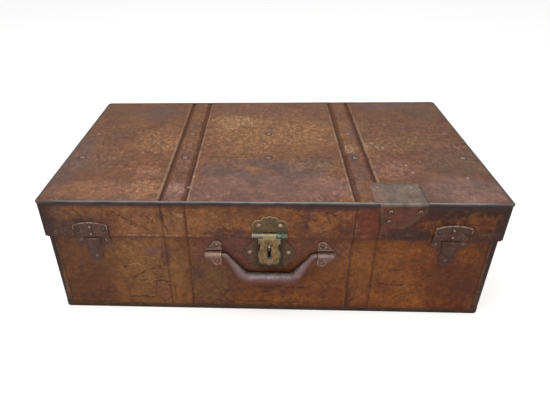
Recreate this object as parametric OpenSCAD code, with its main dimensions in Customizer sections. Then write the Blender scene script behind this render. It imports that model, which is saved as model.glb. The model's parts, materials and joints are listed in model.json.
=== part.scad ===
// Old sheet metal suitcase: riveted base tray and hinged lid, hasp lock, swinging handle,
// dowel catches, riveted hinges and slotted lid stays.
// X runs along the width, the front faces -Y and Z is up. The origin is the centre of the underside.

/* [Case] */
// Width over the lid walls
lid_w = 610; // [560:1:720]
// Depth over the lid walls
lid_d = 354; // [300:1:440]
// Height from the underside to the lid's top sheet
case_h = 187; // [165:1:230]
// Height of the lid walls
lid_h = 56; // [48:1:72]
// Overhang of the lid past the base on each side
overhang = 4; // [3:0.5:7]
// Thickness of the case sheet
sheet_t = 0.8; // [0.6:0.1:1.1]
// Height that the base walls reach up inside the lid
upstand = 12; // [8:1:14]
// Height of the folded hem on each free sheet edge
hem_h = 5; // [3:0.5:7]
// Outer radius of the upright corners
corner_r = 6; // [5:0.5:12]
// Width of the seam flange past each corner
seam_lap = 5; // [3:0.5:10]
// Height of the floor's upturned lip
floor_lip = 7; // [4:0.5:12]
// Radius of the rolled edge round the lid's top
roll_r = 2.5; // [2:0.1:3]
// Height of the rolled edge above the sheets beside it
roll_proud = 0.8; // [0.3:0.1:1.2]

/* [Pressed bands] */
// Distance from the middle line of the bands to each band
band_x = 126; // [110:1:150]
// Offset of the bands' middle line from the case's middle
band_shift = 2; // [0:0.5:6]
// Distance between the two grooves of a band
band_w = 31; // [20:1:40]
// Radius of a groove on the lid's top
top_groove_r = 5; // [4:0.5:7]
// Depth of a groove on the lid's top
top_groove_depth = 2.4; // [1:0.1:3]
// Radius of a groove on the walls
wall_groove_r = 3.2; // [2:0.1:5]
// Depth of a groove on the walls
wall_groove_depth = 0.8; // [0.4:0.1:1.2]

/* [Battens] */
// Place of the front batten, from the case's middle
batten_front_y = -51; // [-90:1:-30]
// Place of the back batten, from the case's middle
batten_back_y = 35; // [10:1:60]
// Width of a batten
batten_w = 22; // [16:1:30]
// Height of a batten's flanges
batten_h = 9; // [7:0.5:12]
// Thickness of the batten sheet
batten_t = 1; // [0.8:0.1:1.5]
// Distance of the last batten rivet from the lid's end
batten_rivet_inset = 23; // [15:1:40]
// Clearance between a batten and the lid
batten_fit = 0.3; // [0.1:0.1:0.6]

/* [Hasp and lock] */
// Offset of the lock and handle from the case's middle
lock_x = 2; // [0:0.5:6]
// Thickness of the riveted plates
plate_t = 1.2; // [0.8:0.1:1.6]
// Width of the hasp's hinge barrel
hasp_barrel_w = 46; // [42:1:50]
// Width of the hasp flap's knuckle
hasp_knuckle_w = 17.4; // [14:0.2:20]
// Outer radius of the hasp's barrel
hasp_barrel_r = 2.9; // [2.6:0.1:3.2]
// Radius of the hasp's pin
hasp_pin_r = 1.4; // [1:0.1:1.7]
// Height of the hasp's pin above the lid's lower edge
hasp_pin_rise = 8; // [7:0.5:10]
// Height of the hasp plate above the pin
hasp_plate_h = 28; // [26:0.5:30]
// Length of the hasp flap below the pin
flap_drop = 48; // [46:0.5:52]
// Half width of the hasp flap's top
flap_top_hw = 14.5; // [13:0.5:16]
// Half width of the hasp flap's waist
flap_waist_hw = 11.8; // [10:0.2:13]
// Radius of the hasp flap's round lower body
flap_body_r = 15; // [14:0.5:16]
// Thickness of the hasp flap's front and rim
flap_t = 1.4; // [1:0.1:1.6]
// Clearance behind the hasp flap
flap_gap = 0.5; // [0.3:0.1:0.8]
// Radius of the keyhole's round top
keyhole_r = 2.9; // [2.5:0.1:3.5]
// Width of the keyhole's slot
keyhole_slot_w = 3.4; // [2.4:0.1:4]
// Length of the keyhole's slot below its round top
keyhole_slot_h = 15; // [10:0.5:16]
// Depth of the keyhole's round top below the pin
keyhole_drop = 22; // [20:0.5:23]
// Radius of the drill pin
drill_pin_r = 1.3; // [0.9:0.1:1.6]
// Depth of the staple's middle below the lid's lower edge
staple_drop = 33; // [32:0.5:34]
// Width of the staple
staple_w = 5.2; // [4:0.2:6]
// Height of the staple
staple_h = 8; // [7:0.5:9]
// Travel of the lock bolt
bolt_travel = 6.2; // [5.8:0.1:6.4]
// Height of the lock bolt
bolt_h = 4; // [3:0.2:4.6]
// Clearance round the lock bolt and the staple
lock_fit = 0.3; // [0.2:0.05:0.4]
// Half width of the lock plate at its rivets
lock_plate_hw = 36; // [34:0.5:40]
// Height of the lock plate
lock_plate_h = 51; // [49:0.5:54]
// Gap between the lid's lower edge and the plates below it
seam_gap = 2; // [1:0.5:3]

/* [Handle] */
// Distance from the handle's middle to the inner edge of each handle plate
handle_span = 65; // [60:0.5:70]
// Width of a handle plate
handle_plate_w = 25; // [23:0.5:27]
// Depth of the handle's axis below the lid's lower edge
handle_axis_drop = 27.5; // [25:0.5:30]
// Distance of each handle rivet above or below the axis
handle_rivet_z = 14.5; // [13:0.5:16]
// Outer radius of the handle plate's socket
handle_socket_r = 5; // [4.6:0.1:5.4]
// Radius of the handle's steel core
core_r = 2.7; // [2:0.1:3.2]
// Radius of the grip at its ends
grip_end_r = 4.3; // [3.8:0.1:4.6]
// Radius of the grip at its middle
grip_r = 7.6; // [6.5:0.1:8.2]
// Drop of the grip below its axis
grip_drop = 36.5; // [30:0.5:40]
// Distance from the handle's middle to the corner of the grip's straight part
grip_corner_x = 35; // [30:0.5:40]
// Distance from each handle plate to the upper bend
handle_bend_inset = 5; // [4.5:0.5:8]
// Bend radius at the grip's upper corners
upper_bend_r = 8; // [6:0.5:10]
// Bend radius at the grip's lower corners
lower_bend_r = 16; // [10:0.5:20]
// Gap between the resting grip and the wall
grip_gap = 1; // [0.8:0.1:1.5]

/* [Dowel catches] */
// Distance of each catch from the end of the base
catch_inset = 63.5; // [55:0.5:80]
// Width of a catch plate
catch_w = 48; // [42:0.5:54]
// Height of the lid's catch plate
catch_lid_h = 24; // [20:0.5:28]
// Height of the base's catch plate
catch_base_h = 41; // [38:0.5:46]
// Distance of the catch rivets from the catch's middle line
catch_rivet_x = 17.2; // [15:0.2:19]
// Width of the tongue
tongue_w = 8; // [6:0.5:10]
// Length of the tongue below the lid's lower edge
tongue_drop = 8; // [6:0.5:10]
// Clearance round the tongue in its socket
tongue_fit = 0.5; // [0.4:0.1:0.9]
// Thickness of the socket's hood
hood_t = 1.2; // [0.8:0.1:1.5]
// Distance of the hood's axis behind the face of its plate
hood_back = 6; // [0:0.5:8]
// Narrowing of the hood per millimetre of height
hood_taper = 0.12; // [0.05:0.01:0.2]
// Crown radius of the lid's catch plate
catch_arch_r = 62; // [40:1:100]
// Corner radius of the lid's catch plate
catch_corner_r = 10; // [6:0.5:14]
// Width of the catch plate's raised rim
catch_rim_w = 2; // [1.2:0.1:3]
// Height of the catch plate's raised rim
catch_rim_h = 0.9; // [0.4:0.1:1.2]
// Height of the socket's hood
hood_h = 20; // [14:0.5:22]

/* [Hinges and stays] */
// Distance of each back hinge from the case's middle
hinge_x = 190; // [120:1:230]
// Width of a back hinge
hinge_w = 60; // [44:1:80]
// Height of each hinge leaf
hinge_leaf_h = 28; // [22:1:34]
// Outer radius of the hinge knuckles
hinge_r = 3; // [2.6:0.1:3.4]
// Radius of the hinge pins
hinge_pin_r = 1.5; // [1.1:0.1:1.8]
// Depth of the hinge axis below the lid's lower edge
hinge_drop = 1; // [0.5:0.1:1.2]
// Gap between the hinge knuckles and the lid
hinge_gap = 0.3; // [0.2:0.1:0.5]
// Gap between neighbouring knuckles
knuckle_gap = 0.3; // [0.2:0.1:0.5]
// Radial clearance of the pins and pivots
running_fit = 0.05; // [0.02:0.01:0.09]
// Opening angle of the lid at the stays' stop
lid_open = 105; // [90:1:105]
// Distance from the hinge axis to each end of a closed stay
stay_reach = 56; // [56:1:64]
// Angle of the stay's lid pivot above the hinge axis
stay_lid_angle = 21; // [20:1:24]
// Angle of the stay's base stud below the hinge axis
stay_base_angle = 4; // [2:1:8]
// Half width of a stay arm
stay_hw = 5.5; // [5:0.5:7]
// Thickness of a stay arm
stay_t = 1.6; // [1.2:0.1:2]
// Radius of the stay's pivot and stud
stay_pin_r = 2.4; // [2:0.1:2.8]
// Clearance of the stud in the stay's slot
stay_slot_fit = 0.3; // [0.2:0.1:0.5]
// Sideways gap between the stay and the hem beside it
stay_gap = 0.6; // [0.4:0.1:1]

/* [Rivets and patch] */
// Radius of a rivet's shank
rivet_r = 1.6; // [1.2:0.1:1.9]
// Clearance of a rivet in its hole
rivet_fit = 0.05; // [0.02:0.01:0.1]
// Head radius of the large rivets
large_head_r = 3.6; // [3:0.1:4.2]
// Head radius of the small rivets
small_head_r = 2.6; // [2.2:0.1:3]
// Thickness of a rivet's clinched tail
tail_t = 0.8; // [0.5:0.1:1.2]
// Thickness of the repair patch
patch_t = 0.6; // [0.4:0.1:0.8]
// Overlap of the patch past the band's outer groove
patch_lap = 9.5; // [8:0.5:14]
// Width of the patch
patch_w = 66.5; // [62:0.5:72]
// Depth of the patch on the lid's top
patch_top_d = 53; // [45:1:60]
// Height of the patch on the lid's front
patch_front_h = 37; // [34:1:40]

// Distance of the patch's left rivets from its left edge
patch_rivet_left = 20.5; // [16:0.5:24]
// Distance of the patch's right rivet from its left edge
patch_rivet_right = 57.5; // [52:0.5:60]
// Depth of the patch's upper rivets below the top sheet
patch_rivet_high = 12; // [10:0.5:14]
// Depth of the patch's lower rivet below the top sheet
patch_rivet_low = 26.5; // [24:0.5:30]
// Distance of the patch's top rivet behind the lid's front
patch_rivet_back = 41; // [34:0.5:44]

/* [Hidden] */
$fn = 48;

// Colours
PAINT = [0.46, 0.29, 0.17];
PAINT_DARK = [0.30, 0.18, 0.13];
ROLL = [0.40, 0.40, 0.44];
BRASS = [0.52, 0.44, 0.27];
OLIVE = [0.34, 0.28, 0.20];
STEEL = [0.50, 0.49, 0.48];
COPPER = [0.52, 0.33, 0.26];
LEATHER = [0.44, 0.32, 0.31];

// Main planes and outlines
seam_z = case_h - lid_h;
wall_top_z = seam_z + upstand;
base_w = lid_w - 2 * overhang;
base_d = lid_d - 2 * overhang;
lid_front_y = -lid_d / 2;
base_front_y = -base_d / 2;
roll_inset = roll_r - roll_proud;
roll_z = case_h - roll_inset;
band_lines = [for (s = [-1, 1], e = [-1, 1]) band_shift + s * band_x + e * band_w / 2];
eps = 0.01;

// Hasp, lock and handle places
hasp_pin_z = seam_z + hasp_pin_rise;
hasp_barrel_sink = 0.4;
hasp_pin_y = lid_front_y - plate_t - hasp_barrel_r + hasp_barrel_sink;
hasp_play = 0.4;
flap_front_y = hasp_pin_y - hasp_barrel_r + 0.2;
flap_back_y = base_front_y - plate_t - flap_gap;
flap_top_z = hasp_pin_z - hasp_barrel_r - hasp_play;
flap_bottom_z = hasp_pin_z - flap_drop;
flap_body_z = flap_bottom_z + flap_body_r + 3;
flap_cover_t = 0.8;
staple_z = seam_z - staple_drop;
staple_front_y = flap_front_y + flap_t + 1.4;
keyhole_z = hasp_pin_z - keyhole_drop;
hasp_rivet_x = 14;
hasp_rivet_rise = 13;
hasp_rivet_places = [for (s = [-1, 1]) [lock_x + s * hasp_rivet_x, hasp_pin_z + hasp_rivet_rise]];
lock_shoulder_hw = 21;
lock_rivet_x = lock_plate_hw - 9.8;
lock_rivet_drop = 26;
lock_rivet_places = [for (s = [-1, 1]) [lock_x + s * lock_rivet_x, seam_z - lock_rivet_drop]];
tenon = 4;
handle_axis_z = seam_z - handle_axis_drop;
handle_axis_y = base_front_y - plate_t - handle_socket_r + 0.8;
handle_rivet_x = handle_span + 6.5;
handle_rivet_places = [for (s = [-1, 1], e = [-1, 1])
    [lock_x + s * handle_rivet_x, handle_axis_z + e * handle_rivet_z]];

// Catch places
catch_x = base_w / 2 - catch_inset;
catch_lid_z = seam_z + 1;
catch_base_z = seam_z - seam_gap - 1;
catch_lid_rivet_z = seam_z + 12.5;
catch_lid_rivets = [for (s = [-1, 1], e = [-1, 1]) [s * catch_x + e * catch_rivet_x, catch_lid_rivet_z]];
catch_ear_drop = 5;
catch_tip_rise = 9;
catch_base_rivets = [for (s = [-1, 1], p = [
    [-catch_rivet_x, catch_base_z - catch_ear_drop], [catch_rivet_x, catch_base_z - catch_ear_drop],
    [0, catch_base_z - catch_base_h + catch_tip_rise]]) [s * catch_x + p[0], p[1]]];

// Hinge and stay places
hinge_y = lid_d / 2 + hinge_r + hinge_gap;
hinge_z = seam_z - hinge_drop;
hinge_knuckle_w = hinge_w / 4;
hinge_rivet_inset = 9;
lid_leaf_z = hinge_z + hinge_r + 2 * knuckle_gap;
base_leaf_z = hinge_z - hinge_r - 2 * knuckle_gap;
leaf_rivet_places = [for (s = [-1, 1], x = [-1, 0, 1], e = [0])
    [s * hinge_x + x * (hinge_w / 2 - hinge_rivet_inset), (x == 0 ? 0.3 : 0.62) * hinge_leaf_h]];
stay_swing = (stay_lid_angle - stay_base_angle) / 2;
stay_spread = stay_lid_angle + stay_base_angle;
stay_short = 2 * stay_reach * sin(stay_spread / 2);
stay_long = 2 * stay_reach * sin((stay_spread + lid_open) / 2);
stay_lid_y = hinge_y - stay_reach * cos(stay_lid_angle);
stay_lid_z = hinge_z + stay_reach * sin(stay_lid_angle);
stay_stud_y = hinge_y - stay_reach * cos(stay_base_angle);
stay_stud_z = hinge_z - stay_reach * sin(stay_base_angle);
stay_outer_x = base_w / 2 - 2 * sheet_t - stay_gap;
stay_side_gap = 0.15;
stay_head_r = 5;

// Batten and patch places
batten_y_places = [batten_front_y, batten_back_y];
batten_rivet_x = [-(lid_w / 2 - batten_rivet_inset), band_shift - band_x, 0, band_shift + band_x,
    lid_w / 2 - batten_rivet_inset];
patch_left = band_lines[3] - patch_lap;
patch_rivet_front = [[patch_left + patch_rivet_left, case_h - patch_rivet_high],
    [patch_left + patch_rivet_left, case_h - patch_rivet_low],
    [patch_left + patch_rivet_right, case_h - patch_rivet_high]];
patch_rivet_top = [[band_lines[3], lid_front_y + patch_rivet_back]];

// Sheet laid on the front (towards -Y), on the back (towards +Y) and on an end (towards +X)
module on_front(y, t) { translate([0, y, 0]) rotate([90, 0, 0]) linear_extrude(t) children(); }
module on_back(y, t) { translate([0, y + t, 0]) rotate([90, 0, 0]) linear_extrude(t) children(); }
module on_end(x, t) { translate([x, 0, 0]) rotate([90, 0, 90]) linear_extrude(t) children(); }
module mirrored_left() { mirror([1, 0, 0]) children(); }

// Rectangle with round corners
module rounded_rect(w, d, r) {
    square([w - 2 * r, d], center = true);
    square([w, d - 2 * r], center = true);
    for (sx = [-1, 1], sy = [-1, 1]) translate([sx * (w / 2 - r), sy * (d / 2 - r)]) circle(r);
}

// Two circles joined by their outer tangents
module link(a, ra, b, rb) {
    run = b - a;
    turn = atan2(run[1], run[0]);
    lean = acos((ra - rb) / norm(run));
    translate(a) circle(ra);
    translate(b) circle(rb);
    polygon([for (q = [[a, ra, lean], [b, rb, lean], [b, rb, -lean], [a, ra, -lean]])
        q[0] + (q[1] - eps) * [cos(turn + q[2]), sin(turn + q[2])]]);
}

// Section of a sheet whose outer face lies on y = 0, with grooves pressed in from that face
module swaged_sheet(half_len, lines, r, depth) {
    difference() {
        union() {
            translate([-half_len, -sheet_t]) square([2 * half_len, sheet_t]);
            for (x = lines) intersection() {
                translate([x, r - depth]) circle(r + sheet_t);
                translate([x - 2 * r, -depth - 2 * sheet_t]) square([4 * r, depth + 2 * sheet_t]);
            }
        }
        for (x = lines) translate([x, r - depth]) circle(r);
    }
}

// Tube bent round a rectangle of the given centre line
module edge_ring(w, d, r, tube) {
    for (s = [-1, 1]) {
        translate([-(w / 2 - r), s * d / 2, 0]) rotate([0, 90, 0]) cylinder(h = w - 2 * r, r = tube);
        translate([s * w / 2, d / 2 - r, 0]) rotate([90, 0, 0]) cylinder(h = d - 2 * r, r = tube);
    }
    for (q = [0:3]) mirror([q % 2, 0, 0]) mirror([0, floor(q / 2), 0])
        translate([w / 2 - r, d / 2 - r, 0]) rotate_extrude(angle = 90) translate([r, 0]) circle(tube);
}

module lid_roll(grow) {
    translate([0, 0, roll_z])
        edge_ring(lid_w - 2 * roll_inset, lid_d - 2 * roll_inset, corner_r - roll_inset, roll_r + grow);
}

// Rivet along +Z whose head sits on z = 0 and whose tail clinches below the grip
module rivet(head_r, head_h, grip) {
    dome_r = (head_r * head_r + head_h * head_h) / (2 * head_h);
    rotate_extrude() {
        intersection() {
            translate([0, head_h - dome_r]) circle(dome_r);
            square([head_r, head_h]);
        }
        translate([0, -grip]) square([rivet_r, grip + eps]);
        translate([0, -grip - tail_t]) square([rivet_r + 1, tail_t]);
    }
}
module front_rivets(places, y, head_r, grip) {
    for (p = places) translate([p[0], y, p[1]]) rotate([90, 0, 0]) rivet(head_r, 0.5 * head_r, grip);
}
module rivet_holes(places) {
    for (p = places) translate(p) circle(rivet_r + rivet_fit);
}

// Wall of the case seen from above: swaged front or back sheet and the end sheet with its flanges
module long_wall_plan(half_len, face_y) {
    translate([0, face_y]) mirror([0, 1])
        swaged_sheet(half_len, band_lines, wall_groove_r, wall_groove_depth);
}
module end_wall_plan(w, d) {
    intersection() {
        difference() {
            rounded_rect(w, d, corner_r);
            rounded_rect(w - 2 * sheet_t, d - 2 * sheet_t, corner_r - sheet_t);
        }
        translate([w / 2 - corner_r - seam_lap, -d]) square([corner_r + seam_lap + 1, 2 * d]);
    }
}

// Base tray
module base_floor() {
    color(PAINT_DARK) {
        linear_extrude(sheet_t) rounded_rect(base_w + 2 * sheet_t, base_d + 2 * sheet_t, corner_r + sheet_t);
        linear_extrude(floor_lip) difference() {
            rounded_rect(base_w + 2 * sheet_t, base_d + 2 * sheet_t, corner_r + sheet_t);
            rounded_rect(base_w, base_d, corner_r);
        }
    }
}
module base_long_wall() {
    half_len = base_w / 2 - corner_r;
    hem_hl = half_len - sheet_t;
    translate([0, 0, sheet_t]) linear_extrude(wall_top_z - sheet_t) long_wall_plan(half_len, base_front_y);
    translate([-hem_hl, base_front_y + sheet_t, wall_top_z - hem_h]) difference() {
        cube([2 * hem_hl, sheet_t, hem_h]);
        for (x = band_lines) translate([x + hem_hl, wall_groove_depth - sheet_t - wall_groove_r, -eps])
            cylinder(h = hem_h + 2 * eps, r = wall_groove_r + sheet_t);
    }
}
module base_front() {
    color(PAINT) difference() {
        base_long_wall();
        on_front(base_front_y + 3, 4)
            rivet_holes(concat(lock_rivet_places, handle_rivet_places, catch_base_rivets));
        translate([lock_x - tenon / 2 - rivet_fit, base_front_y - 1, staple_z - tenon / 2 - rivet_fit])
            cube([tenon + 2 * rivet_fit, sheet_t + 2, tenon + 2 * rivet_fit]);
    }
}
module base_back() {
    color(PAINT) difference() {
        mirror([0, 1, 0]) base_long_wall();
        on_back(base_d / 2 - 3, 4) rivet_holes([for (p = leaf_rivet_places) [p[0], base_leaf_z - p[1]]]);
    }
}
module base_end() {
    flange_y = base_d / 2;
    difference() {
        union() {
            translate([0, 0, sheet_t]) linear_extrude(wall_top_z - sheet_t)
                end_wall_plan(base_w, base_d + 2 * sheet_t);
            translate([base_w / 2 - 2 * sheet_t, -flange_y + corner_r, wall_top_z - hem_h])
                cube([sheet_t, 2 * (flange_y - corner_r), hem_h]);
        }
        // The corners and flanges stop above the floor's lip
        for (s = [-1, 1]) translate([0, s * (flange_y + 1) - corner_r - 1, 0])
            cube([base_w, 2 * corner_r + 2, floor_lip + rivet_fit]);
        on_end(base_w / 2 - 2, 3) translate([stay_stud_y, stay_stud_z]) circle(stay_pin_r + rivet_fit);
    }
}
module base_end_right() { color(PAINT) base_end(); }
module base_end_left() { color(PAINT) mirrored_left() base_end(); }

// Lock plate: sloping shoulders, round ears over the rivets and a scalloped lower edge
module lock_plate_outline() {
    top = seam_z - seam_gap;
    bottom = top - lock_plate_h;
    ear_r = 9.8;
    ear = [lock_rivet_x, seam_z - lock_rivet_drop];
    shoulder_r = 5;
    shoulder = [lock_shoulder_hw - 3.5, top - shoulder_r - 0.6];
    foot_r = 8;
    foot = [lock_rivet_x - 7, bottom + foot_r + 3];
    for (s = [-1, 1]) {
        link([s * shoulder[0], shoulder[1]], shoulder_r, [s * ear[0], ear[1]], ear_r);
        link([s * ear[0], ear[1]], ear_r - 0.2, [s * foot[0], foot[1]], foot_r);
        translate([s * 9, bottom + 6.6]) circle(6.2);
    }
    translate([0, bottom + 6.5]) circle(6.5);
    translate([-foot[0], bottom + 6]) square([2 * foot[0], foot_r]);
}
module lock_plate() {
    plate_bottom = seam_z - seam_gap - lock_plate_h;
    hole = tenon + 2 * rivet_fit;
    color(OLIVE) difference() {
        union() {
            on_front(base_front_y, plate_t) translate([lock_x, 0]) lock_plate_outline();
            translate([lock_x - lock_shoulder_hw, base_front_y - plate_t, plate_bottom + 14])
                cube([2 * lock_shoulder_hw, plate_t, lock_plate_h - 14]);
        }
        on_front(base_front_y + 1, plate_t + 2) rivet_holes(lock_rivet_places);
        translate([lock_x - hole / 2, base_front_y - plate_t - 1, staple_z - hole / 2])
            cube([hole, plate_t + 2, hole]);
    }
}
// Staple with a slotted eye for the bolt, held by a clinched square tenon
module lock_staple() {
    plate_y = base_front_y - plate_t;
    reach = plate_y - staple_front_y;
    nose_r = staple_h / 2;
    color(STEEL) translate([lock_x, 0, staple_z]) {
        difference() {
            union() {
                translate([-staple_w / 2, plate_y - reach + nose_r, -nose_r])
                    cube([staple_w, reach - nose_r, 2 * nose_r]);
                intersection() {
                    translate([-staple_w / 2, plate_y - reach + nose_r, 0]) rotate([0, 90, 0])
                        cylinder(h = staple_w, r = nose_r);
                    translate([-staple_w, plate_y - reach - 1, -staple_h])
                        cube([2 * staple_w, reach + 1, 2 * staple_h]);
                }
            }
            translate([-staple_w, bolt_back_y - bolt_t - lock_fit, -bolt_h / 2 - lock_fit])
                cube([2 * staple_w, bolt_t + 2 * lock_fit, bolt_h + 2 * lock_fit]);
        }
        translate([-tenon / 2, plate_y - eps, -tenon / 2]) cube([tenon, plate_t + sheet_t + eps, tenon]);
        translate([-tenon / 2 - 1, base_front_y + sheet_t, -tenon / 2 - 1])
            cube([tenon + 2, tail_t, tenon + 2]);
    }
}
module lock_rivets() {
    color(OLIVE) front_rivets(lock_rivet_places, base_front_y - plate_t, large_head_r, plate_t + sheet_t);
}

// Handle plate with two rivet lobes, an outer tip and the socket for the handle's pivot
module handle_plate() {
    lobe_r = 7;
    tip_r = 4.5;
    tip_x = handle_span + handle_plate_w - tip_r;
    difference() {
        union() {
            on_front(base_front_y, plate_t) intersection() {
                union() for (e = [-1, 1])
                    link([handle_rivet_x, handle_axis_z + e * handle_rivet_z], lobe_r,
                        [tip_x, handle_axis_z], tip_r);
                translate([handle_span, handle_axis_z - 2 * handle_rivet_z])
                    square([2 * handle_plate_w, 4 * handle_rivet_z]);
            }
            on_front(base_front_y, plate_t) translate([handle_span, handle_axis_z - handle_rivet_z])
                square([12, 2 * handle_rivet_z]);
            translate([handle_span, handle_axis_y, handle_axis_z]) {
                rotate([0, 90, 0]) cylinder(h = handle_plate_w - 6, r = handle_socket_r);
                translate([handle_plate_w - 6, 0, 0]) sphere(handle_socket_r);
            }
        }
        translate([handle_span - 1, handle_axis_y, handle_axis_z])
            rotate([0, 90, 0]) cylinder(h = handle_plate_w - 6, r = core_r + running_fit);
        for (e = [-1, 1]) on_front(base_front_y + 1, plate_t + 2)
            translate([handle_rivet_x, handle_axis_z + e * handle_rivet_z]) circle(rivet_r + rivet_fit);
    }
}
module handle_plate_right() { color(COPPER) translate([lock_x, 0, 0]) handle_plate(); }
module handle_plate_left() { color(COPPER) translate([lock_x, 0, 0]) mirrored_left() handle_plate(); }
module handle_rivets() {
    color(COPPER) front_rivets(handle_rivet_places, base_front_y - plate_t, small_head_r, plate_t + sheet_t);
}

// Half of the handle's bent centre line, as straight and curved runs of round bar
bend_x = handle_span - handle_bend_inset;
slope = atan2(grip_drop, bend_x - grip_corner_x);
upper_cut = upper_bend_r * tan(slope / 2);
lower_cut = lower_bend_r * tan(slope / 2);
arm_len = norm([bend_x - grip_corner_x, grip_drop]) - upper_cut - lower_cut;
rest_tilt = asin((grip_r + grip_gap - (base_front_y - handle_axis_y)) / grip_drop);
// The straight runs reach a little way into the bends, which are a hair thicker
bend_lap = 0.3;
bend_swell = 0.03;
// Gap between the bar's end runs and the handle plates
end_gap = 0.3;
// How far the bar's blind end stays inside the outer edge of its plate
core_end = 7.5;
module half_bail(end_r, mid_r, end_x) {
    // Upper bend with its outer run, the sloping arm, then the lower bend and half of the straight part
    translate([bend_x + upper_cut, 0, 0]) {
        rotate([90, 0, 0]) translate([0, -upper_bend_r]) rotate([0, 0, 90]) rotate_extrude(angle = slope)
            translate([upper_bend_r, 0]) circle(end_r + bend_swell);
        translate([-bend_lap, 0, 0]) rotate([0, 90, 0])
            cylinder(h = end_x - bend_x - upper_cut + bend_lap, r = end_r);
    }
    translate([bend_x - upper_cut * cos(slope), 0, -upper_cut * sin(slope)]) rotate([0, 270 - slope, 0])
        translate([0, 0, -bend_lap]) cylinder(h = arm_len + 2 * bend_lap, r1 = end_r, r2 = mid_r);
    translate([grip_corner_x - lower_cut, 0, -grip_drop]) {
        rotate([90, 0, 0]) translate([0, lower_bend_r]) rotate([0, 0, -90]) rotate_extrude(angle = slope)
            translate([lower_bend_r, 0]) circle(mid_r + bend_swell);
        translate([bend_lap, 0, 0]) rotate([0, -90, 0])
            cylinder(h = grip_corner_x - lower_cut + bend_lap + eps, r = mid_r);
    }
}
module bail(end_r, mid_r, end_x) {
    half_bail(end_r, mid_r, end_x);
    mirrored_left() half_bail(end_r, mid_r, end_x);
}
module in_handle_frame() {
    translate([lock_x, handle_axis_y, handle_axis_z]) rotate([-rest_tilt, 0, 0]) children();
}
module core_bar(grow) {
    bail(core_r + grow, core_r + grow, handle_span + handle_plate_w - core_end);
}
module handle_core() { color(STEEL) in_handle_frame() core_bar(0); }
module handle_grip() {
    color(LEATHER) in_handle_frame() difference() {
        bail(grip_end_r, grip_r, handle_span - end_gap);
        core_bar(rivet_fit);
    }
}

// Base half of a dowel catch: eared plate with a tapering hood for the tongue
module catch_socket() {
    plate_y = base_front_y - plate_t;
    top = catch_base_z;
    bottom = top - catch_base_h;
    tab_r = 8;
    stem_r = 12.5;
    ear_r = catch_w / 2 - catch_rivet_x;
    hood_z = top - 1 - hood_h;
    tip_r = norm([tongue_w / 2, plate_y - lid_front_y + plate_t + hood_back]) + tongue_fit;
    pocket_r = tip_r + hood_taper * (top - 1 - seam_z + tongue_drop);
    pocket_low_r = pocket_r - hood_taper * hood_h;
    translate([catch_x, 0, 0]) difference() {
        union() {
            on_front(base_front_y, plate_t) {
                for (s = [-1, 1]) translate([s * catch_rivet_x, top - catch_ear_drop]) circle(ear_r);
                link([0, top - 1 - stem_r], stem_r, [0, bottom + tab_r], tab_r);
            }
            translate([-catch_rivet_x, plate_y, top - catch_ear_drop - ear_r + 1])
                cube([2 * catch_rivet_x, plate_t, catch_ear_drop + ear_r - 1]);
            intersection() {
                translate([0, plate_y + hood_back, hood_z])
                    cylinder(h = hood_h, r1 = pocket_low_r + hood_t, r2 = pocket_r + hood_t);
                translate([-catch_w, plate_y - 20, hood_z]) cube([2 * catch_w, 20 + plate_t / 2, hood_h]);
            }
        }
        intersection() {
            translate([0, plate_y + hood_back, hood_z + eps])
                cylinder(h = hood_h, r1 = pocket_low_r, r2 = pocket_r);
            translate([-catch_w, plate_y - 30, hood_z + hood_t]) cube([2 * catch_w, 30, hood_h + 1]);
        }
        on_front(base_front_y + 1, plate_t + 4) for (s = [-1, 1])
            translate([s * catch_rivet_x, top - catch_ear_drop]) circle(rivet_r + rivet_fit);
        on_front(base_front_y + 1, plate_t + 4) translate([0, bottom + catch_tip_rise])
            circle(rivet_r + rivet_fit);
    }
}
module catch_socket_right() { color(PAINT_DARK) catch_socket(); }
module catch_socket_left() { color(PAINT_DARK) mirrored_left() catch_socket(); }
module catch_socket_rivets() {
    color(COPPER) front_rivets(catch_base_rivets, base_front_y - plate_t, small_head_r, plate_t + sheet_t);
}

// Back hinges
module hinge_knuckle(x, w) {
    translate([x, hinge_y, hinge_z]) rotate([0, 90, 0]) cylinder(h = w, r = hinge_r);
}
module hinge_bore() {
    translate([-hinge_w, hinge_y, hinge_z]) rotate([0, 90, 0])
        cylinder(h = 2 * hinge_w, r = hinge_pin_r + running_fit);
}
module leaf_holes(base_z, way) {
    for (p = leaf_rivet_places) if (p[0] > 0)
        translate([p[0] - hinge_x, base_z + way * p[1]]) circle(rivet_r + rivet_fit);
}
module hinge_base_leaf() {
    web_z = hinge_z - 1.6;
    translate([hinge_x, 0, 0]) difference() {
        union() {
            on_back(base_d / 2, plate_t) translate([-hinge_w / 2, base_leaf_z - hinge_leaf_h])
                square([hinge_w, hinge_leaf_h]);
            for (x = [-hinge_w / 2, hinge_w / 2 - hinge_knuckle_w]) {
                hinge_knuckle(x, hinge_knuckle_w);
                translate([x, base_d / 2, base_leaf_z - eps])
                    cube([hinge_knuckle_w, plate_t, web_z + plate_t - base_leaf_z + eps]);
                translate([x, base_d / 2, web_z]) cube([hinge_knuckle_w, hinge_y - base_d / 2, plate_t]);
            }
        }
        hinge_bore();
        on_back(base_d / 2 - 1, plate_t + 2) leaf_holes(base_leaf_z, -1);
    }
}
module hinge_lid_leaf() {
    middle = hinge_w / 2 - hinge_knuckle_w - knuckle_gap;
    translate([hinge_x, 0, 0]) difference() {
        union() {
            on_back(lid_d / 2, plate_t) {
                translate([-hinge_w / 2, lid_leaf_z]) square([hinge_w, hinge_leaf_h]);
                translate([-middle, hinge_z]) square([2 * middle, hinge_r + 1]);
            }
            hinge_knuckle(-middle, 2 * middle);
        }
        hinge_bore();
        on_back(lid_d / 2 - 1, plate_t + 2) leaf_holes(lid_leaf_z, 1);
    }
}
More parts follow.
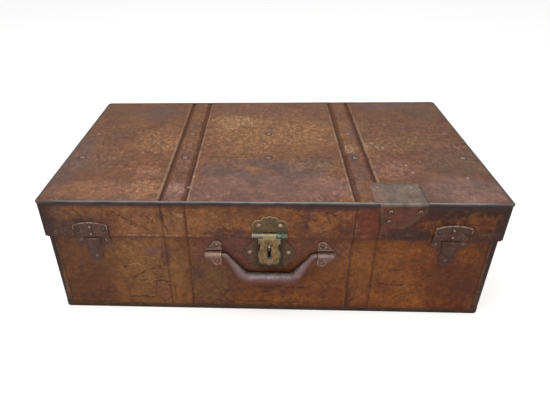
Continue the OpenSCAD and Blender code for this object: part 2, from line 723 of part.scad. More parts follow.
module hinge_pin() {
    translate([hinge_x - hinge_w / 2, hinge_y, hinge_z]) rotate([0, 90, 0])
        cylinder(h = hinge_w, r = hinge_pin_r);
    for (s = [-1, 1]) translate([hinge_x + s * hinge_w / 2, hinge_y, hinge_z]) rotate([0, s * 90, 0])
        cylinder(h = 1, r1 = hinge_pin_r + 0.8, r2 = hinge_pin_r);
}
module hinge_base_leaf_right() { color(PAINT_DARK) hinge_base_leaf(); }
module hinge_base_leaf_left() { color(PAINT_DARK) mirrored_left() hinge_base_leaf(); }
module hinge_lid_leaf_right() { color(PAINT_DARK) hinge_lid_leaf(); }
module hinge_lid_leaf_left() { color(PAINT_DARK) mirrored_left() hinge_lid_leaf(); }
module hinge_pin_right() { color(STEEL) hinge_pin(); }
module hinge_pin_left() { color(STEEL) mirrored_left() hinge_pin(); }
module back_rivets(y, base_z, way) {
    for (p = leaf_rivet_places) translate([p[0], y + plate_t, base_z + way * p[1]])
        rotate([-90, 0, 0]) rivet(small_head_r, 0.5 * small_head_r, plate_t + sheet_t);
}
module hinge_base_rivets() { color(STEEL) back_rivets(base_d / 2, base_leaf_z, -1); }
module hinge_lid_rivets() { color(STEEL) back_rivets(lid_d / 2, lid_leaf_z, 1); }

// Lid stays: arm pivoted on the lid and slotted on a stud of the base
module stay_fastener(wall_x, y, z) {
    spacer_end = stay_outer_x + stay_side_gap;
    inner_x = stay_outer_x - stay_t - stay_side_gap;
    translate([0, y, z]) rotate([0, 90, 0]) {
        translate([0, 0, inner_x - 1.4]) cylinder(h = 1.4, r1 = stay_head_r - 1, r2 = stay_head_r);
        translate([0, 0, inner_x - eps]) cylinder(h = wall_x + sheet_t - inner_x + eps, r = stay_pin_r);
        translate([0, 0, spacer_end]) cylinder(h = wall_x - spacer_end, r = stay_head_r);
        translate([0, 0, wall_x + sheet_t]) cylinder(h = 1.2, r1 = 3.6, r2 = 2.4);
    }
}
module stay_stud_right() { color(STEEL) stay_fastener(base_w / 2 - sheet_t, stay_stud_y, stay_stud_z); }
module stay_stud_left() {
    color(STEEL) mirrored_left() stay_fastener(base_w / 2 - sheet_t, stay_stud_y, stay_stud_z);
}
module stay_pivot_right() { color(STEEL) stay_fastener(lid_w / 2 - sheet_t, stay_lid_y, stay_lid_z); }
module stay_pivot_left() {
    color(STEEL) mirrored_left() stay_fastener(lid_w / 2 - sheet_t, stay_lid_y, stay_lid_z);
}
module stay_arm() {
    slot_r = stay_pin_r + stay_slot_fit;
    difference() {
        union() {
            on_end(stay_outer_x - stay_t, stay_t) translate([stay_lid_y, stay_lid_z]) rotate(-stay_swing)
                translate([-stay_hw, -stay_long - 2]) square([2 * stay_hw, stay_long + 2]);
            for (end = [0, -stay_long - 2]) on_end(stay_outer_x - stay_t, stay_t)
                translate([stay_lid_y, stay_lid_z]) rotate(-stay_swing) translate([0, end]) circle(stay_hw);
        }
        on_end(stay_outer_x - stay_t - 1, stay_t + 2) translate([stay_lid_y, stay_lid_z])
            rotate(-stay_swing) {
            circle(stay_pin_r + running_fit);
            link([0, -stay_short], slot_r, [0, -stay_long], slot_r);
        }
    }
}
module stay_arm_right() { color(STEEL) stay_arm(); }
module stay_arm_left() { color(STEEL) mirrored_left() stay_arm(); }

// Lid
module lid_top() {
    color(PAINT) difference() {
        intersection() {
            translate([0, lid_d / 2, case_h]) rotate([90, 0, 0]) linear_extrude(lid_d)
                swaged_sheet(lid_w / 2, band_lines, top_groove_r, top_groove_depth);
            translate([0, 0, case_h - 10]) linear_extrude(20)
                rounded_rect(lid_w - 2 * roll_inset, lid_d - 2 * roll_inset, corner_r - roll_inset);
        }
        lid_roll(rivet_fit);
        for (y = batten_y_places, x = batten_rivet_x) translate([x, y, case_h - 5])
            cylinder(h = 10, r = rivet_r + rivet_fit);
        for (p = patch_rivet_top) translate([p[0], p[1], case_h - 5])
            cylinder(h = 10, r = rivet_r + rivet_fit);
    }
}
module lid_long_wall() {
    half_len = lid_w / 2 - corner_r;
    hem_hl = half_len - seam_lap - sheet_t;
    translate([0, 0, seam_z]) linear_extrude(roll_z - seam_z) long_wall_plan(half_len, lid_front_y);
    translate([-hem_hl, lid_front_y + sheet_t, seam_z]) difference() {
        cube([2 * hem_hl, sheet_t, hem_h]);
        for (x = band_lines) translate([x + hem_hl, wall_groove_depth - sheet_t - wall_groove_r, -eps])
            cylinder(h = hem_h + 2 * eps, r = wall_groove_r + sheet_t);
    }
}
module lid_front() {
    color(PAINT) difference() {
        lid_long_wall();
        lid_roll(rivet_fit);
        on_front(lid_front_y + 3, 4)
            rivet_holes(concat(hasp_rivet_places, catch_lid_rivets, patch_rivet_front));
    }
}
module lid_back() {
    color(PAINT) difference() {
        mirror([0, 1, 0]) lid_long_wall();
        lid_roll(rivet_fit);
        on_back(lid_d / 2 - 3, 4) rivet_holes([for (p = leaf_rivet_places) [p[0], lid_leaf_z + p[1]]]);
    }
}
module lid_end() {
    side_y = lid_d / 2 - sheet_t - corner_r;
    difference() {
        union() {
            translate([0, 0, seam_z]) linear_extrude(roll_z - seam_z)
                end_wall_plan(lid_w, lid_d - 2 * sheet_t);
            translate([lid_w / 2 - 2 * sheet_t, -side_y, seam_z]) cube([sheet_t, 2 * side_y, hem_h]);
        }
        lid_roll(rivet_fit);
        on_end(lid_w / 2 - 2, 3) translate([stay_lid_y, stay_lid_z]) circle(stay_pin_r + rivet_fit);
    }
}
module lid_end_right() { color(PAINT) lid_end(); }
module lid_end_left() { color(PAINT) mirrored_left() lid_end(); }
module lid_edge_roll() { color(ROLL) lid_roll(0); }

// Channel under the lid's top, notched where the grooves cross it
module batten(y) {
    half_len = lid_w / 2 - 2 * sheet_t - batten_fit;
    under_z = case_h - sheet_t;
    color(STEEL) difference() {
        translate([-half_len, y, under_z]) rotate([90, 0, 90]) linear_extrude(2 * half_len) difference() {
            translate([-batten_w / 2, -batten_h]) square([batten_w, batten_h]);
            translate([-batten_w / 2 + batten_t, -batten_h - 1])
                square([batten_w - 2 * batten_t, batten_h + 1 - batten_t]);
        }
        for (x = band_lines) translate([x, y + batten_w, case_h + top_groove_r - top_groove_depth])
            rotate([90, 0, 0]) cylinder(h = 2 * batten_w, r = top_groove_r + sheet_t + batten_fit);
        for (x = batten_rivet_x) translate([x, y, case_h - 5]) cylinder(h = 10, r = rivet_r + rivet_fit);
        for (s = [-1, 1]) translate([s * half_len, y, roll_z]) rotate([90, 0, 0])
            cylinder(h = 2 * batten_w, r = roll_r + batten_fit, center = true);
    }
}
module batten_front() { batten(batten_front_y); }
module batten_back() { batten(batten_back_y); }
module batten_rivets() {
    color(PAINT_DARK) for (y = batten_y_places, x = batten_rivet_x)
        translate([x, y, case_h]) rivet(large_head_r, 0.6, sheet_t + batten_t);
}

// Repair patch bent over the rolled edge, cut round on the top and tapering on the front
module patch_section(top_len, front_len) {
    // Section across the edge: x is the depth from the lid's front face, y the height
    difference() {
        union() {
            translate([roll_inset, 0]) square([top_len - roll_inset, patch_t]);
            translate([-patch_t, -front_len]) square([patch_t, front_len - roll_inset]);
            difference() {
                translate([roll_inset, -roll_inset]) circle(roll_r + rivet_fit + patch_t);
                translate([0, -4 * roll_r]) square(4 * roll_r);
            }
        }
        translate([roll_inset, -roll_inset]) circle(roll_r + rivet_fit);
    }
}
module patch_top_mask() {
    round_r = 11;
    y0 = lid_front_y - 5;
    depth = patch_top_d + 5;
    translate([patch_left, y0]) {
        square([patch_w, depth - round_r]);
        translate([round_r, depth - 2 * round_r]) square([patch_w - 2 * round_r, 2 * round_r]);
        for (x = [round_r, patch_w - round_r]) translate([x, depth - round_r]) circle(round_r);
    }
}
module patch_front_mask() {
    low = case_h - patch_front_h;
    x0 = patch_left + 6;
    x1 = patch_left + patch_w;
    polygon([[x0, case_h + 5], [x0, case_h - 4], [x0 + 3.2, low + 12], [x0 + 15, low], [x0 + 35, low],
        [x1 - 20, low + 4], [x1 - 10, low + 13], [x1 - 1, case_h - patch_rivet_high], [x1, case_h - 4],
        [x1, case_h + 5]]);
    translate([x0 + 15, low + 12]) circle(12);
}
module lid_patch() {
    color(OLIVE) difference() {
        translate([patch_left, lid_front_y, case_h]) rotate([90, 0, 90]) linear_extrude(patch_w)
            patch_section(patch_top_d, patch_front_h);
        // Outside the top outline
        difference() {
            translate([patch_left - 5, lid_front_y + roll_inset, case_h - 1])
                cube([patch_w + 10, patch_top_d + 5, 5]);
            translate([0, 0, case_h - 2]) linear_extrude(8) patch_top_mask();
        }
        // Outside the front outline
        difference() {
            translate([patch_left - 5, lid_front_y - 5, case_h - patch_front_h - 5])
                cube([patch_w + 10, 5 + roll_inset, patch_front_h + 10]);
            on_front(lid_front_y + 5, 15) patch_front_mask();
        }
        on_front(lid_front_y + 1, 5) rivet_holes(patch_rivet_front);
        for (p = patch_rivet_top) translate([p[0], p[1], case_h - 1])
            cylinder(h = 5, r = rivet_r + rivet_fit);
    }
}
module patch_rivets() {
    color(OLIVE) {
        front_rivets(patch_rivet_front, lid_front_y - patch_t, small_head_r, patch_t + sheet_t);
        for (p = patch_rivet_top) translate([p[0], p[1], case_h + patch_t])
            rivet(small_head_r, 1, patch_t + top_groove_depth + sheet_t);
    }
}

// Hasp plate with a scalloped top and the two outer knuckles
module hasp_plate_outline() {
    lobe_r = 9;
    rivet_z = hasp_pin_z + hasp_rivet_rise;
    top = hasp_pin_z + hasp_plate_h;
    for (s = [-1, 1]) {
        translate([s * hasp_rivet_x, rivet_z]) circle(lobe_r);
        translate([s * 6.5, top - 5.8]) circle(4.4);
    }
    translate([0, top - 4.6]) circle(4.6);
    translate([-hasp_rivet_x, rivet_z - 2]) square([2 * hasp_rivet_x, 9]);
    translate([-hasp_barrel_w / 2, hasp_pin_z]) square([hasp_barrel_w, rivet_z - hasp_pin_z]);
}
module hasp_knuckle(x, w) {
    translate([x, hasp_pin_y, hasp_pin_z]) rotate([0, 90, 0]) cylinder(h = w, r = hasp_barrel_r);
}
module hasp_bore() {
    translate([-hasp_barrel_w, hasp_pin_y, hasp_pin_z]) rotate([0, 90, 0])
        cylinder(h = 2 * hasp_barrel_w, r = hasp_pin_r + running_fit);
}
module hasp_plate() {
    outer_w = (hasp_barrel_w - hasp_knuckle_w) / 2 - knuckle_gap;
    notch_hw = hasp_knuckle_w / 2 + knuckle_gap;
    color(BRASS) difference() {
        union() {
            translate([lock_x, 0, 0]) {
                difference() {
                    on_front(lid_front_y, plate_t) hasp_plate_outline();
                    translate([-notch_hw, lid_front_y - 2 * plate_t, hasp_pin_z - 5])
                        cube([2 * notch_hw, 3 * plate_t, 5 + hasp_barrel_r + hasp_play]);
                }
                hasp_knuckle(-hasp_barrel_w / 2, outer_w);
                hasp_knuckle(hasp_barrel_w / 2 - outer_w, outer_w);
            }
        }
        translate([lock_x, 0, 0]) hasp_bore();
        on_front(lid_front_y + 1, plate_t + 3) rivet_holes(hasp_rivet_places);
    }
}
module hasp_pin() {
    color(STEEL) translate([lock_x - hasp_barrel_w / 2, hasp_pin_y, hasp_pin_z]) rotate([0, 90, 0])
        cylinder(h = hasp_barrel_w, r = hasp_pin_r);
}
module hasp_rivets() {
    color(BRASS) front_rivets(hasp_rivet_places, lid_front_y - plate_t, large_head_r, plate_t + sheet_t);
}

// Hasp flap: a shallow pan of waisted outline, with a keyhole and a stamped ring
module flap_outline(inset) {
    lobe_r = 6;
    top_h = 9;
    translate([-flap_top_hw + inset, flap_top_z - top_h + inset])
        square([2 * (flap_top_hw - inset), top_h - 2 * inset]);
    translate([-flap_waist_hw + inset, flap_body_z])
        square([2 * (flap_waist_hw - inset), flap_top_z - flap_body_z - inset]);
    translate([0, flap_body_z]) circle(flap_body_r - inset);
    for (s = [-1, 1]) translate([s * 7.5, flap_bottom_z + 2 + lobe_r]) circle(lobe_r - inset);
    translate([0, flap_bottom_z + 5]) circle(5 - inset);
    translate([-7.5, flap_bottom_z + 2 + inset]) square([15, 10]);
}
module keyhole_outline() {
    translate([0, keyhole_z]) circle(keyhole_r);
    translate([-keyhole_slot_w / 2, keyhole_z - keyhole_slot_h]) square([keyhole_slot_w, keyhole_slot_h]);
}
staple_way_hw = staple_w / 2 + 2 * lock_fit;
staple_way_top = staple_z + staple_h / 2 + 2 * lock_fit;
bolt_back_y = flap_back_y - flap_cover_t - 0.15;
bolt_t = 2.6;
module flap_pan() {
    depth = flap_back_y - flap_front_y;
    difference() {
        on_front(flap_back_y, depth) flap_outline(0);
        on_front(flap_back_y + 1, depth + 1 - flap_t) flap_outline(flap_t);
        // Step back over the lid's lower edge
        translate([-flap_top_hw - 1, lid_front_y - flap_gap, seam_z - 1]) cube([2 * flap_top_hw + 2, 10, 20]);
        // Way out for the staple
        translate([-staple_way_hw, staple_front_y - 2 * lock_fit, flap_bottom_z - 1])
            cube([2 * staple_way_hw, 20, staple_way_top - flap_bottom_z + 1]);
        on_front(flap_front_y + 3, 6) keyhole_outline();
    }
}
module hasp_flap() {
    ring_z = hasp_pin_z - 9;
    mid_w = hasp_knuckle_w;
    color(BRASS) translate([lock_x, 0, 0]) difference() {
        union() {
            flap_pan();
            hasp_knuckle(-mid_w / 2, mid_w);
            // Leaf from the knuckle down to the pan's front
            translate([-mid_w / 2, flap_front_y, flap_top_z - 1])
                cube([mid_w, flap_t, hasp_pin_z - flap_top_z + 1]);
            on_front(flap_front_y, 0.4) translate([0, ring_z]) difference() {
                circle(3.6);
                circle(2.7);
            }
        }
        hasp_bore();
    }
}
// Inner cover of the flap, with guide rails for the bolt
module hasp_back() {
    rail_h = 1.2;
    rail_t = 1;
    rail_x0 = staple_way_hw;
    color(BRASS) translate([lock_x, 0, 0]) difference() {
        union() {
            on_front(flap_back_y, flap_cover_t) intersection() {
                flap_outline(flap_t + rivet_fit);
                translate([-30, flap_bottom_z - 5]) square([60, seam_z - 1.2 - flap_bottom_z + 5]);
            }
            for (z = [staple_z + bolt_h / 2 + lock_fit, staple_z - bolt_h / 2 - lock_fit - rail_h])
                translate([rail_x0, flap_back_y - flap_cover_t - rail_t, z])
                    cube([5.5, rail_t + eps, rail_h]);
        }
        translate([-staple_way_hw, flap_back_y - 2, flap_bottom_z - 1])
            cube([2 * staple_way_hw, 3, staple_way_top - flap_bottom_z + 1]);
        on_front(flap_back_y + 1, 3) translate([0, keyhole_z]) circle(drill_pin_r * 0.8 + rivet_fit);
    }
}
// Pin on which the hollow key turns, shouldered in the cover
module drill_pin() {
    shoulder_y = flap_back_y - flap_cover_t;
    color(STEEL) translate([lock_x, 0, keyhole_z]) rotate([90, 0, 0]) {
        translate([0, 0, -shoulder_y]) cylinder(h = shoulder_y - flap_front_y - 0.8, r = drill_pin_r);
        translate([0, 0, -flap_back_y]) cylinder(h = flap_cover_t + eps, r = drill_pin_r * 0.8);
    }
}
// Sliding bolt with a talon for the key, drawn back clear of the staple
module lock_bolt() {
    talon_w = 1.6;
    talon_h = 6;
    bolt_x = staple_w / 2 + 2.5 * lock_fit;
    bolt_len = bolt_travel + talon_w - 0.4;
    color(STEEL) translate([lock_x + bolt_x, 0, staple_z]) {
        on_front(bolt_back_y, bolt_t) translate([0, -bolt_h / 2]) square([bolt_len, bolt_h]);
        on_front(bolt_back_y - 1.2, bolt_t - 1.2) translate([bolt_len - talon_w, 0])
            square([talon_w, bolt_h / 2 + talon_h]);
    }
}

// Lid half of a dowel catch: crowned plate with a rolled rim, a centre rib and the tongue
module catch_arch(inset) {
    intersection() {
        translate([0, catch_lid_z + catch_lid_h - catch_arch_r]) circle(catch_arch_r - inset, $fn = 160);
        translate([0, catch_lid_z])
            rounded_rect(catch_w - 2 * inset, 2 * (catch_lid_h - inset), catch_corner_r - inset);
        translate([-catch_w, catch_lid_z]) square([2 * catch_w, catch_lid_h]);
    }
}
module catch_tongue() {
    face_y = lid_front_y - plate_t;
    translate([catch_x, 0, 0]) difference() {
        union() {
            difference() {
                on_front(lid_front_y, plate_t + catch_rim_h) catch_arch(0);
                on_front(face_y, catch_rim_h + 1) catch_arch(catch_rim_w);
            }
            translate([-tongue_w / 2, face_y, seam_z - tongue_drop])
                cube([tongue_w, plate_t, tongue_drop + 2]);
            on_front(lid_front_y, plate_t + 0.6) {
                for (z = [catch_lid_z + 4, catch_lid_z + catch_lid_h - 7]) translate([0, z]) circle(2.2);
                translate([-2.2, catch_lid_z + 4]) square([4.4, catch_lid_h - 11]);
            }
            for (z = [catch_lid_z + 5, catch_lid_z + catch_lid_h - 7.5])
                translate([0, face_y - 0.4, z]) sphere(1.6);
        }
        on_front(lid_front_y + 1, plate_t + 4) for (s = [-1, 1])
            translate([s * catch_rivet_x, catch_lid_rivet_z]) circle(rivet_r + rivet_fit);
    }
}
module catch_tongue_right() { color(PAINT_DARK) catch_tongue(); }
module catch_tongue_left() { color(PAINT_DARK) mirrored_left() catch_tongue(); }
module catch_tongue_rivets() {
    color(PAINT_DARK) front_rivets(catch_lid_rivets, lid_front_y - plate_t, small_head_r, plate_t + sheet_t);
}

base_floor();
base_front();
base_back();
base_end_left();
base_end_right();
lock_plate();
lock_staple();
lock_rivets();
handle_plate_left();
handle_plate_right();
handle_rivets();
catch_socket_left();
catch_socket_right();
catch_socket_rivets();
hinge_base_leaf_left();
hinge_base_leaf_right();
hinge_pin_left();
hinge_pin_right();
hinge_base_rivets();
stay_stud_left();
stay_stud_right();
lid_top();
lid_front();
lid_back();
lid_end_left();
lid_end_right();
lid_edge_roll();
lid_patch();
patch_rivets();
hasp_plate();
hasp_pin();
hasp_rivets();
catch_tongue_left();
catch_tongue_right();
catch_tongue_rivets();
hinge_lid_leaf_left();
hinge_lid_leaf_right();
hinge_lid_rivets();
batten_front();
batten_back();
batten_rivets();
stay_pivot_left();
stay_pivot_right();
hasp_flap();
hasp_back();
drill_pin();
lock_bolt();
handle_core();
handle_grip();
stay_arm_left();
stay_arm_right();
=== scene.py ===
"""Looks of the old sheet metal suitcase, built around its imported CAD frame."""
import bpy
import bmesh
import json
import math
from functools import reduce
from mathutils import Vector, Matrix, noise as mnoise


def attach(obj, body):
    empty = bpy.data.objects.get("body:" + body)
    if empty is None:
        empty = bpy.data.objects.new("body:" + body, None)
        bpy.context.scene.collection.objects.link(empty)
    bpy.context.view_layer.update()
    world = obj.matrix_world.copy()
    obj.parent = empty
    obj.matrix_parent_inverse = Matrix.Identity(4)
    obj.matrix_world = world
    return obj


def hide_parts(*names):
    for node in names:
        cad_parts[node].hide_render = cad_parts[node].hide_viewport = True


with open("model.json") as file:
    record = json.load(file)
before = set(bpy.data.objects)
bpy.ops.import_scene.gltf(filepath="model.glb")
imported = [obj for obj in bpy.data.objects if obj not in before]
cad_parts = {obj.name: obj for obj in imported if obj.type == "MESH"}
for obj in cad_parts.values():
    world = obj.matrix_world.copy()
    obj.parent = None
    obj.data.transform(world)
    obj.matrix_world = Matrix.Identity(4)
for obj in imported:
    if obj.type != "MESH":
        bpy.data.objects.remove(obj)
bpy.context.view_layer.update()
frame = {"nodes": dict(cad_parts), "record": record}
nodes = frame["nodes"]
scene = bpy.context.scene


def rgba(colour):
    """Linear RGBA of 0xRRGGBB, of a linear grey or of a linear (r, g, b)."""
    if isinstance(colour, float):
        return (colour, colour, colour, 1.0)
    if isinstance(colour, tuple):
        return (*colour, 1.0)
    eight_bit = [(colour >> shift & 255) / 255 for shift in (16, 8, 0)]
    return (*(v / 12.92 if v <= 0.04045 else ((v + 0.055) / 1.055) ** 2.4 for v in eight_bit), 1.0)


def metres(lengths):
    """Lengths given in millimetres."""
    return [n / 1000 for n in lengths]


def linked(name, data):
    obj = bpy.data.objects.new(name, data)
    scene.collection.objects.link(obj)
    return obj


def from_bmesh(name, bm, mat):
    """A new object with that mesh, its faces turned outwards."""
    bmesh.ops.recalc_face_normals(bm, faces=bm.faces)
    me = bpy.data.meshes.new(name)
    bm.to_mesh(me)
    bm.free()
    me.materials.append(mat)
    return linked(name, me)


# ---------------------------------------------------------------- camera, fitted to the photo
cam_data = bpy.data.cameras.new("camera")
cam_data.sensor_fit = "HORIZONTAL"
cam_data.sensor_width = 36
cam_data.lens = 31.67
cam_data.shift_x = (275 - 238.1) / 550
cam_data.shift_y = (197.78 - 206) / 550
cam_data.clip_start = 0.02
cam_data.clip_end = 60
cam = linked("camera", cam_data)
cam.location = (-0.00313, -0.69502, 0.51578)
cam.rotation_euler = tuple(math.radians(a) for a in (58.258, 1.388, 3.001))
scene.camera = cam
scene.view_settings.view_transform = "Standard"


# ---------------------------------------------------------------- node helpers
class Value:
    """A node's output. Sums and products with it make the math nodes that they need."""

    def __init__(self, tree, socket):
        self.tree, self.socket = tree, socket

    def __add__(self, other): return self.tree.math("ADD", self, other)
    def __radd__(self, other): return self.tree.math("ADD", other, self)
    def __sub__(self, other): return self.tree.math("SUBTRACT", self, other)
    def __rsub__(self, other): return self.tree.math("SUBTRACT", other, self)
    def __mul__(self, other): return self.tree.math("MULTIPLY", self, other)
    def __rmul__(self, other): return self.tree.math("MULTIPLY", other, self)
    def __truediv__(self, number): return self.tree.math("MULTIPLY", self, 1 / number)
    def __abs__(self): return self.tree.math("ABSOLUTE", self)


class Tree:
    """The emptied node tree of a material or world."""

    def __init__(self, owner):
        owner.use_nodes = True
        self.nodes, self.links = owner.node_tree.nodes, owner.node_tree.links
        self.nodes.clear()

    def put(self, socket, value):
        if isinstance(value, Value):
            self.links.new(value.socket, socket)
        elif value is not None:
            socket.default_value = rgba(value) if socket.type == "RGBA" else value

    def node(self, kind, out=0, inputs=(), **settings):
        """Output of a new node, with those settings and inputs."""
        n = self.nodes.new("ShaderNode" + kind)
        for name, value in settings.items():
            setattr(n, name, value)
        for name, value in dict(inputs).items():
            self.put(n.inputs[name], value)
        return Value(self, n.outputs[out]) if n.outputs else None

    def math(self, op, a, b=None, clamp=False):
        return self.node("Math", 0, {0: a, 1: b}, operation=op, use_clamp=clamp)

    def max(self, a, b): return self.math("MAXIMUM", a, b)
    def min(self, a, b): return self.math("MINIMUM", a, b)
    def length(self, a, b): return self.math("SQRT", a * a + b * b)


class Build(Tree):
    """One material, with short calls for the nodes it needs. Lengths are in metres."""

    def __init__(self, name):
        self.mat = bpy.data.materials.new(name)
        super().__init__(self.mat)
        self.P = self.node("TexCoord", "Object")
        self.x, self.y, self.z = self.split(self.P)
        self.nx, self.ny, self.nz = self.split(self.node("TexCoord", "Normal"))
        self.seed = 0
        self.cache = {}

    def split(self, vec):
        n = self.nodes.new("ShaderNodeSeparateXYZ")
        self.put(n.inputs[0], vec)
        return [Value(self, s) for s in n.outputs]

    def step(self, v, a, b):
        """0 below a and 1 above b, smoothly; a may be the larger."""
        return self.node("MapRange", "Result", {
            "Value": v, "From Min": min(a, b), "From Max": max(a, b),
            "To Min": float(a > b), "To Max": float(a < b)}, interpolation_type="SMOOTHSTEP")

    def vector(self, op, *args):
        return self.node("VectorMath", 0, dict(enumerate(args)), operation=op)

    def scaled(self, sx, sy, sz, vec=None):
        return self.vector("MULTIPLY", vec or self.P, (sx, sy, sz))

    def noise(self, size, detail=4, rough=0.55, vec=None, colour=False):
        """Noise whose features are about size metres across, each call its own."""
        self.seed += 1
        s = 7.13 * self.seed
        return self.node("TexNoise", "Color" if colour else "Fac", {
            "Vector": self.vector("ADD", vec or self.P, (s, -0.6 * s, 0.37 * s)),
            "Scale": 1 / size, "Detail": detail, "Roughness": rough})

    def cracks(self, size, vec):
        """Distance to the nearest line of a net of cracks."""
        self.seed += 1
        s = 3.7 * self.seed
        return self.node("TexVoronoi", "Distance", {"Vector": self.vector("ADD", vec, (s, s, -s)),
                                                    "Scale": 1 / size}, feature="DISTANCE_TO_EDGE")

    def warped(self, size, amount):
        """The coordinates, pushed about by noise of that size."""
        return self.vector("MULTIPLY_ADD", self.noise(size, 3, colour=True), (amount,) * 3, self.P)

    def mix(self, fac, a, b, kind="MIX"):
        return self.node("Mix", 2, {"Factor": fac, 6: a, 7: b}, data_type="RGBA", blend_type=kind)

    def times(self, c, fac, tone):
        """Colour c, multiplied by tone as far as fac says."""
        return self.mix(fac, c, self.mix(1.0, c, tone, "MULTIPLY"))

    def mottle(self, c, fac, low, high):
        """Colour c times low where fac is 0 and times high where it is 1."""
        return self.mix(1.0, c, self.mix(fac, low, high), "MULTIPLY")

    def shared(self, size, detail=5):
        """One noise per size, for the many patches that use it."""
        key = (size, detail)
        if key not in self.cache:
            self.cache[key] = self.noise(size, detail, 0.6) - 0.5
        return self.cache[key]

    def reach(self, u, v, cu, cv, ru, rv, ragged, size, detail=5):
        """Distance from (cu, cv), 1 at half sizes ru and rv, made ragged by noise."""
        return self.length((u - cu) / ru, (v - cv) / rv) + 2 * ragged * self.shared(size, detail)

    def ramp(self, value, stops):
        """Colours along a value; the stops are (value, colour)."""
        lo, hi = stops[0][0], stops[-1][0]
        n = self.nodes.new("ShaderNodeValToRGB")
        elements = n.color_ramp.elements
        for i, (at, colour) in enumerate(stops):
            e = elements[i] if i < 2 else elements.new(1.0)
            e.position = (at - lo) / (hi - lo)
            e.color = rgba(colour)
        self.put(n.inputs["Fac"], (value - lo) / (hi - lo))
        return Value(self, n.outputs["Color"])

    def stroke(self, u, v, u0, v0, u1, v1, width, ragged=0.5):
        """Thin worn stroke from (u0, v0) to (u1, v1), broken and uneven."""
        wob = ragged * 0.016 * self.shared(0.012, 4)
        du, dv = u1 - u0, v1 - v0
        a, b = u + wob - u0, v - wob - v0
        t = self.math("MULTIPLY", a * du + b * dv, 1 / (du * du + dv * dv), clamp=True)
        d = self.length(a - t * du, b - t * dv) + 4 * width * self.shared(0.0045, 4)
        return self.step(d, 1.1 * width, 0.4 * width)

    def near(self, u, v, places):
        """Distance to the nearest of a few places (u, v)."""
        return reduce(self.min, [self.length(u - cu, v - cv) for cu, cv in places])

    def ring(self, d, r, width):
        """1 on a thin ring of radius r."""
        return self.step(abs(d - r), width, 0.35 * width)

    def crevice(self, dist, **settings):
        """1 deep in corners and along seams, where shade falls."""
        return 1 - self.node("AmbientOcclusion", "AO", {"Distance": dist}, samples=5, **settings)

    def rim(self, dist):
        """1 on outer edges, where the surface is rubbed."""
        return self.crevice(dist, inside=True, only_local=True)

    def finish(self, colour, rough, height, strength, distance, metallic=0.0, specular=0.5):
        bump = self.node("Bump", 0, {"Strength": strength, "Distance": distance, "Height": height})
        shader = self.node("BsdfPrincipled", 0, {
            "Base Color": colour, "Roughness": rough, "Metallic": metallic, "Specular IOR Level": specular,
            "Normal": bump})
        self.node("OutputMaterial", 0, {"Surface": shader})
        return self.mat


# ---------------------------------------------------------------- sizes of the case, in metres
LOCK_X = 0.002
SEAM = 0.131
TOP = 0.187
LID_Y = 0.177
LID_X = 0.305
BAND_X, BAND_HALF = 0.126, 0.0155       # the pressed bands, each side of the lock
PATCH_X = 0.13, 0.208                  # the repair patch over the rolled edge
BATTEN_MID, BATTEN_OFF = -0.008, 0.043  # the two rows of batten rivets
BATTEN_RIVETS = (-0.282, -0.124, 0.0, 0.128, 0.282)
CHIPS = ((0.196, -0.074), (0.2, -0.095), (0.269, -0.11), (-0.108, -0.135), (-0.104, -0.108))
CATCH_X = 0.2375
HANDLE_Z = 0.1035                       # axis of the handle's sockets

INK = 0x261A16


def band_depth(m):
    """Distance from the nearest pressed line, positive inside its band."""
    d = m.max(*(BAND_HALF - abs(m.x - LOCK_X - s * BAND_X) for s in (-1, 1)))
    return d + (m.noise(0.02, 4) - 0.5) * 0.0014


def far_band(m):
    """1 at the far batten rivets outside the middle, which paint hides."""
    return m.step(m.y, 0.0, 0.01) * m.step(abs(m.x), 0.05, 0.07)


def darkened(m, base, edges):
    """The colour with the darker or lighter edges that those functions of m describe."""
    for value, a, b, colour, strength in [e(m) for e in edges]:
        base = m.mix(m.step(value, a, b) * strength, base, colour)
    return base


